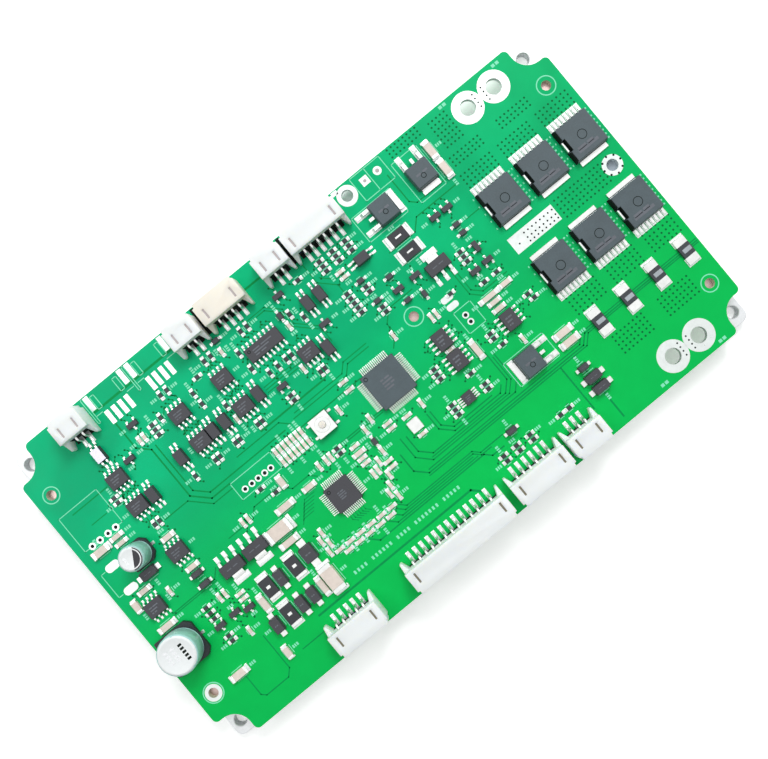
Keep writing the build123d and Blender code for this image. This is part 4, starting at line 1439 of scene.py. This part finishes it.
# %% Backs of the slots
slot_setback = 3.75
slot_inset = 2.0
slot_reach = Vector((0.3 * mm, 1.4 * mm, 0))
slot_foot = Vector((0, 0, 5.86 * mm))
slot_top = Vector((0, 0, 5.96 * mm))
slot_backs = {"front": [], "rear": []}
for node in socket_nodes:
    low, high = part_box(node)
    middle_y = low.y + slot_setback * mm if node.startswith("front") else high.y - slot_setback * mm
    for x in (low.x + slot_inset * mm, high.x - slot_inset * mm):
        middle = Vector((x, middle_y, board_top))
        edge_name = node.split("_")[0]
        slot_backs[edge_name].append((middle - slot_reach + slot_foot, middle + slot_reach + slot_top))
settle(blocks(slot_backs["front"], "front_slot_backs"), deep_shade_finish, "socket_nylon")
settle(blocks(slot_backs["rear"], "rear_slot_backs"), shade_finish, "socket_nylon")
print(sum(len(backs) for backs in slot_backs.values()), "slot backs")

# %% [markdown]
# ## Gaps between sockets
#
# Two pairs of rear sockets stand so close that no light falls between them. A dark strip on the board
# under each gap looks the same from above, and it joins the other dark panels as one piece.

# %% Gaps between the rear sockets
for left, right in (("rear_socket_2", "rear_socket_3"), ("rear_socket_4", "rear_socket_5")):
    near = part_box(left)
    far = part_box(right)
    low_x, high_x = near[1].x - 0.1 * mm, far[0].x + 0.1 * mm
    low_y, high_y = near[0].y + 1.2 * mm, board_high.y - 0.2 * mm
    opening_shades.append(flat_box(low_x, low_y, high_x, high_y, floor_foot, floor_height))
# Painted shade: the panels and strips behind the sockets and in the gaps between them.
settle(blocks(opening_shades, "socket_opening_shades"), shade_and_mark_finish, "socket_nylon")
print(len(opening_shades), "opening_shades")

# %% [markdown]
# ## Can lids
#
# A capacitor's can is drawn aluminium in a pale sleeve, and its lid is bare. A copy of the can keeps
# both: its top faces, picked by their normal, get the lid's finish. The small lid carries a dark
# half that marks the negative side, and the large one rows of plain bars.

# %% Cans and their lids
rim_width = 0.15
lid_drop = 0.05
for node, edge in (("large_capacitor_can", 0.2), ("small_capacitor_can", 0.15)):
    can = round_edges(copy_of(node, node + "_sleeved"), edge, 2)
    settle(can, can_finish, "can_aluminium", node)
    can.data.materials.append(lid_finish)
    lid_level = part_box(node)[1].z - 0.25 * mm
    can.active_material_index = 1
    pick_faces(can, lambda face: face.center.z > lid_level)
    bpy.ops.object.material_slot_assign()
    bpy.ops.object.mode_set(mode="OBJECT")
    pick_faces(can, lambda face: face.normal.z > 0.99 and face.center.z > lid_level)
    bpy.ops.mesh.inset(thickness=rim_width * mm, depth=-lid_drop * mm)
    bpy.ops.object.mode_set(mode="OBJECT")

# %% [markdown]
# ## Marks on the lids
#
# The small lid has a dark segment on its negative side, and both lids carry plain bars, dark or
# barely visible. Bisect cuts the segment from a thin disc along a chord and closes it in one step.

# %% Marks on the lids
large_low, large_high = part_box("large_capacitor_can")
small_low, small_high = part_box("small_capacitor_can")


def lid_bars(low, high, columns):
    """Boxes of bars on a lid. A column is its offset, bar width, first place, pitch and count."""
    middle = (low + high) / 2
    bars = []
    for offset, width, first, pitch, count in columns:
        for number in range(count):
            y = middle.y + (first - number * pitch) * mm
            corner = Vector((middle.x + offset * mm, y, high.z - lid_drop * mm))
            bars.append((corner, corner + Vector((width * mm, pitch * 0.62 * mm, 0.012 * mm))))
    return bars


dark_bars = lid_bars(large_low, large_high, [(1.6, 1.0, 1.3, 0.95, 5)])
settle(blocks(dark_bars, "lid_code"), shade_and_mark_finish, "can_aluminium")
faint_columns = [(-0.6, 1.1, 1.6, 1.0, 4), (-2.4, 1.1, 1.8, 1.0, 4)]
faint_bars = lid_bars(large_low, large_high, faint_columns)
faint_bars += lid_bars(small_low, small_high, [(-1.5, 0.6, 0.7, 0.7, 3)])
settle(blocks(faint_bars, "lid_shadow_code"), plate_finish, "can_aluminium")
lid_middle = (small_low + small_high) / 2
lid_radius = (small_high.x - small_low.x) / 2 * 0.9
bpy.ops.object.select_all(action="DESELECT")
bpy.ops.mesh.primitive_cylinder_add(
    vertices=48,
    radius=lid_radius,
    depth=0.02 * mm,
    location=(lid_middle.x, lid_middle.y, small_high.z - lid_drop * mm),
)
bpy.ops.object.transform_apply(location=True)
half_mark = bpy.context.object
half_mark.name = "negative_mark"
chord = Vector((0.85, -0.53, 0.0))
bpy.ops.object.mode_set(mode="EDIT")
bpy.ops.mesh.select_all(action="SELECT")
bpy.ops.mesh.bisect(
    plane_co=Vector((lid_middle.x, lid_middle.y, small_high.z)) + chord * lid_radius * 0.25,
    plane_no=chord,
    use_fill=True,
    clear_inner=True,
)
bpy.ops.object.mode_set(mode="OBJECT")
settle(half_mark, base_finish, "can_aluminium")
print(len(dark_bars) + len(faint_bars), "bars on the lids")

# %% [markdown]
# ## Marks on the parts
#
# A laser burns dull grey marks into the tops of the packages. Here they are a few short plain bars.
# Each pattern of bars is modelled for a top of one size and stretched over the tops of its kind.

# %% Laser bars
burn_height = 0.012 * mm


def top_boxes(boxes, margin):
    """A thin box on the top of each box, a margin inside its sides."""
    edge = margin * mm
    return [
        flat_box(low.x + edge, low.y + edge, high.x - edge, high.y - edge, high.z, burn_height)
        for low, high in boxes
    ]


def bar_rows(rows, height=0.10):
    """Rows of bars on a unit square: each row is its level and its bars' starts and ends."""
    bars = []
    for level, spans in rows:
        for start, end in spans:
            place = ((start + end) / 2 - 0.5, level - 0.5, 0)
            bars.append(slab("bar", (end - start, height, 1), place, 0))
    return joined("bars", *bars)


def marks_on(boxes, margin, rows, name, height=0.10):
    """Rows of bars on the top of each box."""
    return fill_boxes(bar_rows(rows, height), (1, 1, 1), top_boxes(boxes, margin), name, 0)


code_rows = [
    (0.68, [(0.18, 0.40), (0.45, 0.80)]),
    (0.46, [(0.18, 0.66)]),
    (0.24, [(0.18, 0.30), (0.36, 0.52)]),
]
fine_rows = [
    (0.64, [(0.34, 0.44), (0.47, 0.62)]),
    (0.55, [(0.34, 0.66)]),
    (0.46, [(0.34, 0.52), (0.55, 0.66)]),
    (0.37, [(0.34, 0.58)]),
]
short_rows = [(0.5, [(0.2, 0.45), (0.55, 0.8)])]
wide_rows = [(0.20, [(0.15, 0.45), (0.5, 0.72)]), (0.12, [(0.12, 0.85)])]
mark_pieces = []
for node in ("main_controller_body", "cell_monitor_body"):
    mark_pieces.append(marks_on(solid_boxes(node), 0.4, fine_rows, node + "_code", 0.05))
for node in ("eight_pin_bodies", "gate_driver_body", "reference_body"):
    mark_pieces.append(marks_on(solid_boxes(node), 0.4, code_rows, node + "_code"))
for node in ("rectifier_bodies", "tab_regulator_bodies", "switch_transistor_bodies"):
    mark_pieces.append(marks_on(solid_boxes(node), 0.5, short_rows, node + "_code"))
mark_pieces.append(marks_on(transistor_boxes, 0.9, wide_rows, "transistor_code"))
settle(joined("laser_marks", *mark_pieces), mark_finish, "package_black")
print(len(mark_pieces), "kinds of laser marks")

# %% [markdown]
# ## Large resistors
#
# A large resistor carries one plain bar of pale ink on its black glaze. The helper for the laser
# marks draws it too, with another finish.

# %% Bars on the large resistors
single_row = [(0.5, [(0.26, 0.74)])]
pale_marks = marks_on(solid_boxes("power_resistor_bodies"), 0.5, single_row, "resistor_values", 0.2)
settle(pale_marks, tin_finish, "resistor_black")
print(len(solid_boxes("power_resistor_bodies")), "pale bars")

# %% [markdown]
# ## Mould marks
#
# An ejector pin leaves a shallow ring in the top of a pressed package, and a dimple marks its first
# lead. A thin dark ring, half sunk in the top, reads as either from above and needs no cut.

# %% Dimples and mould marks
ring_thickness = 0.08
dimple_radii = {"main_controller_body": 0.45, "cell_monitor_body": 0.4, "gate_driver_body": 0.35}
dimples = []
for node, radius in dimple_radii.items():
    for low, high in solid_boxes(node):
        spot = Vector((low.x + 1.1 * mm, high.y - 1.1 * mm, high.z))
        dimples.append((spot, radius))
for low, high in transistor_boxes:
    dimples.append((Vector(((low.x + high.x) / 2 + 0.3 * mm, (low.y + high.y) / 2, high.z)), 1.15))
for low, high in solid_boxes("switch_transistor_bodies"):
    dimples.append((Vector(((low.x + high.x) / 2, (low.y + high.y) / 2 - 0.8 * mm, high.z)), 0.6))
rings = []
for spot, radius in dimples:
    bpy.ops.object.select_all(action="DESELECT")
    bpy.ops.mesh.primitive_torus_add(
        major_segments=24,
        minor_segments=6,
        major_radius=radius * mm,
        minor_radius=ring_thickness * mm,
        location=spot,
    )
    bpy.ops.object.transform_apply(location=True)
    rings.append(bpy.context.object)
settle(joined("mould_marks", *rings), shade_and_mark_finish, "package_black")
print(len(rings), "mould marks")

# %% [markdown]
# ## Polished lid
#
# One part near the left edge has a bright lid that mirrors the sky. A thin glossy plate lies on it,
# because all its kind share one mesh and one finish.

# %% Polished lid of the tall coupler
coupler_place = on_grid(18, 73).xy
couplers = solid_boxes("optocoupler_bodies")
low, high = min(couplers, key=lambda box: (box[0].xy - coupler_place).length)
rim = 0.15 * mm
lid_box = flat_box(low.x + rim, low.y + rim, high.x - rim, high.y - rim, high.z, 0.02 * mm)
settle(blocks([lid_box], "coupler_lid"), glossy_lid_finish, "package_black")
print("lid", [round(length / mm, 2) for length in lid_box[1] - lid_box[0]], "mm")

# %% [markdown]
# ## Cuts between the copper fields
#
# Long runs of signals cross the board in bundles. Between their copper lines the lacquer lies on
# bare laminate and looks darker, so each bundle is drawn as dark flat lines in straight runs and
# 45-degree corners, read off the photograph.

# %% Signal runs
cuts = start_sheet("mask_cuts")
track(0.32, (78.2, 32.0), (78.2, 26.3), (81.3, 23.1), (107.0, 23.1), (108.9, 25.0), (108.9, 34.0))
track(0.32, (79.7, 31.5), (79.7, 27.0), (82.3, 24.4), (105.0, 24.4), (107.4, 26.8), (107.4, 38.0))
track(0.27, (81.5, 23.75), (105.7, 23.75), (108.2, 26.2), (108.2, 33.0))
track(0.32, (87.0, 32.5), (87.0, 28.0), (89.8, 25.2), (104.0, 25.2), (105.4, 26.6))
track(0.32, (88.0, 32.5), (88.0, 28.4), (90.3, 26.1), (102.0, 26.1))
track(0.35, (75.8, 29.0), (75.8, 24.0), (78.5, 21.3), (127.0, 21.3), (129.1, 23.4), (164.5, 23.4))
track(0.30, (79.0, 22.0), (126.4, 22.0), (128.4, 24.0), (164.5, 24.0))
track(0.30, (78.2, 20.7), (127.6, 20.7), (129.8, 22.9), (164.5, 22.9))
track(0.30, (67.5, 20.5), (69.3, 18.7), (89.7, 18.7), (91.2, 17.2), (98.0, 17.2))
track(0.30, (66.0, 20.5), (68.4, 18.1), (89.5, 18.1), (91.0, 16.6), (94.0, 16.6))
track(0.30, (64.5, 20.0), (67.0, 17.5), (89.0, 17.5))
track(0.30, (62.0, 20.0), (65.1, 16.9), (90.0, 16.9))
track(0.35, (57.0, 18.3), (59.0, 16.3), (91.5, 16.3), (93.0, 14.8), (96.5, 14.8))
track(0.54, (36.0, 11.7), (83.5, 11.7), (85.3, 9.9))
track(0.30, (58.0, 40.4), (79.0, 40.4))
track(0.30, (58.0, 39.8), (79.0, 39.8))
winding_run = [(31.0, 39.9), (38.5, 39.9), (40.5, 41.9), (48.0, 41.9), (50.5, 39.4), (55.5, 39.4)]
track(0.30, *winding_run, (57.0, 37.9))
track(0.27, (27.8, 8.0), (35.5, 8.0))
track(0.27, (13.0, 11.5), (13.0, 6.0), (14.0, 5.0), (20.8, 5.0), (22.4, 6.6), (22.4, 16.5))
track(0.30, (9.0, 34.5), (22.0, 34.5), (24.0, 36.5))
track(0.24, (9.0, 34.0), (22.2, 34.0))
track(0.41, (27.5, 79.0), (27.5, 71.0), (30.2, 68.3), (30.2, 53.8), (34.0, 50.0), (39.5, 50.0))
track(0.35, (31.6, 68.5), (31.6, 54.4), (34.6, 51.4), (58.0, 51.4))
track(0.30, (22.0, 53.2), (29.0, 53.2), (33.5, 48.7), (39.3, 48.7))
track(0.30, (5.5, 68.2), (16.0, 68.2))
track(0.24, (7.5, 63.4), (12.0, 63.4))
track(0.47, (53.5, 54.9), (73.2, 54.9))
track(0.32, (61.5, 49.5), (80.0, 49.5))
track(0.27, (61.5, 52.2), (78.0, 52.2), (80.0, 54.2), (86.5, 54.2))
track(0.27, (62.5, 53.2), (77.4, 53.2), (79.4, 55.2), (86.5, 55.2))
track(0.62, (25.0, 84.0), (49.3, 84.0))
track(0.54, (72.4, 83.8), (77.2, 83.8))
track(0.32, (105.0, 68.4), (113.0, 68.4), (115.6, 71.0), (128.5, 71.0))
track(0.32, (116.6, 83.2), (116.6, 75.0), (118.0, 73.6), (127.0, 73.6))
track(0.27, (124.6, 62.9), (129.0, 62.9))
track(0.30, (113.6, 57.0), (113.6, 48.4), (116.0, 46.0), (124.0, 46.0))
track(0.30, (114.5, 57.0), (114.5, 49.0), (116.6, 46.9), (124.0, 46.9))
track(0.41, (119.2, 20.4), (119.2, 8.0))
track(0.47, (123.6, 20.4), (123.6, 2.0))
track(0.27, (67.0, 77.6), (73.0, 77.6), (76.2, 74.4), (76.2, 70.0), (80.6, 65.6), (80.6, 61.0))
track(0.27, (67.0, 76.9), (72.6, 76.9), (75.5, 74.0), (75.5, 69.6), (79.8, 65.3))
track(0.27, (86.8, 80.0), (86.8, 74.0), (90.4, 70.4), (90.4, 66.0))
track(0.27, (88.0, 74.6), (90.8, 71.8), (97.0, 71.8))
track(0.27, (60.8, 62.6), (71.0, 62.6))
track(0.27, (60.8, 61.8), (71.0, 61.8))
track(0.27, (60.8, 61.0), (70.0, 61.0))
track(0.30, (91.0, 50.0), (93.5, 52.5), (93.5, 55.5), (96.2, 58.2), (103.5, 58.2))
track(0.30, (45.0, 53.8), (58.0, 53.8), (60.0, 51.8))
for step in range(6):
    x, y = 54.0 - step * 0.6, 35.5 - step * 0.7
    track(0.19, (x, y), (x - 3.0, y), (x - 4.0, y - 1.0))
    x = 57.0 + step * 0.8
    track(0.19, (x, 26.0), (x, 24.4), (x + 1.0, 23.4))
settle(end_sheet(cuts, 0.0, 0.006), cut_finish, "board_laminate")
print("cuts:", len(cuts.data.polygons), "faces")

# %% [markdown]
# ## Free places
#
# Small print and short tracks fill what the parts leave free. A list of taken boxes holds every
# solid, via field and ringed hole, and each new mark is tried against it.

# %% Free places
edge_margin = 1 * mm
hole_reach = 3 * mm
wide_nodes = ("circuit_board", "base_plate", "thermal_pad")
placed_nodes = [name for name in frame["nodes"] if name not in wide_nodes]
taken = []
for node in placed_nodes:
    for low, high in solid_boxes(node):
        taken.append((low.x, low.y, high.x, high.y))
for x, y, columns, rows, step_x, step_y in via_fields:
    low, high = on_grid(x, y), on_grid(x + columns * step_x, y + rows * step_y)
    taken.append((low.x, low.y, high.x, high.y))
for x, y in [hole[:2] for hole in ringed_holes] + earth_holes[1:]:
    x, y = on_grid(x, y).xy
    taken.append((x - hole_reach, y - hole_reach, x + hole_reach, y + hole_reach))


def is_free(place):
    """Whether a place on the board meets nothing that is there already."""
    left, front, right, rear = place
    if left < board_low.x + edge_margin or right > board_high.x - edge_margin:
        return False
    if front < board_low.y + edge_margin or rear > board_high.y - edge_margin:
        return False
    return not any(
        left < other[2] and other[0] < right and front < other[3] and other[1] < rear
        for other in taken
    )


print(len(taken), "places are taken")

# %% [markdown]
# ## Print lines
#
# Two short lines of ink frame most chips along their long sides. The boxes of the chips say where, so
# a loop draws them, and a line is left out where something lies already.

# %% Print lines beside the chips
line_gap = 0.22 * mm
line_width = 0.21 * mm
side_lines = []
lined_nodes = ["chip_resistors", "chip_capacitors", "ceramic_capacitors", "power_resistor_bodies"]
lined_nodes += ["rectifier_bodies", "small_diode_bodies"]
for node in lined_nodes:
    short = 0.0 if node == "power_resistor_bodies" else 0.15
    for low, high in solid_boxes(node):
        reach = (high - low) * short
        if high.x - low.x > high.y - low.y:
            left, right = low.x + reach.x, high.x - reach.x
            places = [
                (left, high.y + line_gap, right, high.y + line_gap + line_width),
                (left, low.y - line_gap - line_width, right, low.y - line_gap),
            ]
        else:
            front, rear = low.y + reach.y, high.y - reach.y
            places = [
                (high.x + line_gap, front, high.x + line_gap + line_width, rear),
                (low.x - line_gap - line_width, front, low.x - line_gap, rear),
            ]
        free = [place for place in places if is_free(place)]
        side_lines += [flat_box(*place, board_top, print_height) for place in free]
settle(blocks(side_lines, "side_lines"), print_finish, "board_laminate")
print(len(side_lines), "print lines")

# %% [markdown]
# ## Short tracks
#
# From most pads a short track runs out, turns by 45 degrees and ends in a via. Six lengths and slants
# are tried, and the first whose end is free is drawn. A rule draws them, because hundreds of tracks
# by hand would take far longer and look no better.

# %% Short tracks to vias
starts = []
for node in ("chip_resistors", "chip_capacitors"):
    for number, (low, high) in enumerate(solid_boxes(node)):
        middle = (low + high) / 2
        is_level = high.x - low.x > high.y - low.y
        side = 1 if number % 2 else -1
        way = Vector((side, 0, 0)) if is_level else Vector((0, side, 0))
        starts.append((middle + way * (max(high.x - low.x, high.y - low.y) / 2 + 0.2 * mm), way))
for node, bodies_node in (
    ("eight_pin_leads", "eight_pin_bodies"),
    ("small_transistor_leads", "small_transistor_bodies"),
    ("gate_driver_leads", "gate_driver_body"),
):
    lead_boxes = solid_boxes(node)
    for (low, high), turn in zip(lead_boxes, outward_turns(lead_boxes, solid_boxes(bodies_node))):
        angle = math.radians(turn)
        way = Vector((round(math.cos(angle)), round(math.sin(angle)), 0))
        reach = max(high.x - low.x, high.y - low.y) / 2 + 0.2 * mm
        starts.append(((low + high) / 2 + way * reach, way))
tracks = start_sheet("short_tracks")
via_reach = 0.33 * mm
via_places = []
for number, (start, way) in enumerate(starts):
    across_way = Vector((-way.y, way.x, 0)) * (1 if number % 3 else -1)
    for straight, slant in ((0.5, 0.6), (0.9, 0.9), (0.7, -0.7), (1.6, 0.8), (1.4, -1.0), (2.4, 1.2)):
        corner = start + way * straight * mm
        end = corner + (way * abs(slant) + across_way * slant) * mm
        place = (end.x - via_reach, end.y - via_reach, end.x + via_reach, end.y + via_reach)
        if is_free(place):
            taken.append(place)
            track(0.24, to_grid(start), to_grid(corner), to_grid(end))
            via_places.append(to_grid(end))
            break
settle(end_sheet(tracks, 0.0, 0.005), cut_finish, "board_laminate")
# Each via is a dark disc: painted shade of its dimple.
small_vias = start_sheet("small_vias")
for x, y in via_places:
    disc(x, y, 0.27, 8)
settle(end_sheet(small_vias, 0.0, 0.01), via_shade_finish, "board_laminate")
print(len(via_places), "short tracks")

# %% [markdown]
# ## Reference marks
#
# Beside almost every part stands a small printed mark, a plain group of three short bars. It goes to
# the first free side of its part: a side is free if no part, lead or other group lies there.

# %% Reference marks
mark_length = 1.9
mark_height = 0.8
mark_gap = 0.75
marked_nodes = ["chip_resistors", "chip_capacitors", "ceramic_capacitors", "small_transistor_bodies"]
marked_nodes += ["small_diode_bodies", "rectifier_bodies", "eight_pin_bodies", "power_resistor_bodies"]
tried_sides = [(False, 1, 0), (False, -1, 0), (True, 0, 1), (True, 0, -1)]
tried_sides += [(False, 0, 1), (False, 0, -1), (True, 1, 0), (True, -1, 0)]
level_marks = []
upright_marks = []
for node in marked_nodes:
    for low, high in solid_boxes(node):
        middle = (low + high) / 2
        reach_x, reach_y = (high.x - low.x) / 2, (high.y - low.y) / 2
        for is_upright, side_x, side_y in tried_sides:
            half_x, half_y = mark_length / 2 * mm, mark_height / 2 * mm
            if is_upright:
                half_x, half_y = half_y, half_x
            x = middle.x + side_x * (reach_x + half_x + mark_gap * mm)
            y = middle.y + side_y * (reach_y + half_y + mark_gap * mm)
            place = (x - half_x, y - half_y, x + half_x, y + half_y)
            if is_free(place):
                taken.append(place)
                marks = upright_marks if is_upright else level_marks
                marks.append(flat_box(*place, board_top, print_height))
                break


def mark_bars():
    """Three short bars of uneven width."""
    bars = [
        slab("bar", (width, mark_height, 0.02), (middle, 0, 0), 0)
        for width, middle in ((0.42, -0.70), (0.34, -0.12), (0.46, 0.5))
    ]
    return joined("bars", *bars)


mark_whole = (mark_length, mark_height, 0.02)
level = fill_boxes(mark_bars(), mark_whole, level_marks, "level_marks", 0)
upright = fill_boxes(mark_bars(), mark_whole, upright_marks, "upright_marks", 90)
settle(joined("reference_marks", level, upright), print_finish, "board_laminate")
print(len(level_marks), "level and", len(upright_marks), "upright marks")

# %% [markdown]
# ## Holes
#
# The walls of the bolt holes are plated, so a thin ring of tin lines each. Small holes are dark
# discs in their lands, painted shade for the inside of a hole, and the two at the rear edge are
# pale discs, painted light for what shows through them.

# %% Plated walls and small holes
barrels = start_sheet("plated_walls")
for x, y in terminals:
    for side in (-1, 1):
        ring(x + side * terminal_pitch / 2, y, 2.12, 2.04, 48)
for x, y in earth_holes:
    ring(x, y, 1.56, 1.48)
settle(end_sheet(barrels, -1.6, 1.6), solder_finish, "lead_tin")
# Painted shade: each small hole is a near-black disc.
holes = start_sheet("small_holes")
for x, y in terminals:
    for column in (-1.3, 1.4):
        for row in (-1.8, -0.6, 0.6, 1.8):
            disc(x + column, y + row, 0.24, 8)
for x in range(8):
    for y in (51.5, 50.1, 49.0):
        disc(133.3 + x * 1.25, y, 0.24, 8)
disc(130.8, 50.1, 0.24, 8)
for x, y, land_radius, hole_radius in header_holes:
    disc(x, y, hole_radius, 20)
earth_x, earth_y = earth_holes[1]
via_circle = 2.45
for number in range(8):
    angle = math.radians(45 * number)
    disc(earth_x + via_circle * math.cos(angle), earth_y + via_circle * math.sin(angle), 0.3, 8)
settle(end_sheet(holes, 0.04, 0.006), shade_and_mark_finish, "lead_tin")
# Painted light: two pale discs for what shows through the holes at the rear edge.
pale_holes = start_sheet("pale_holes")
disc(111.5, 85.7, 0.4, 20)
disc(115.4, 85.7, 0.45, 20)
settle(end_sheet(pale_holes, 0.04, 0.006), shade_finish, "lead_tin")
print("holes:", len(holes.data.polygons) + len(pale_holes.data.polygons), "faces")

# %% Finish
import json
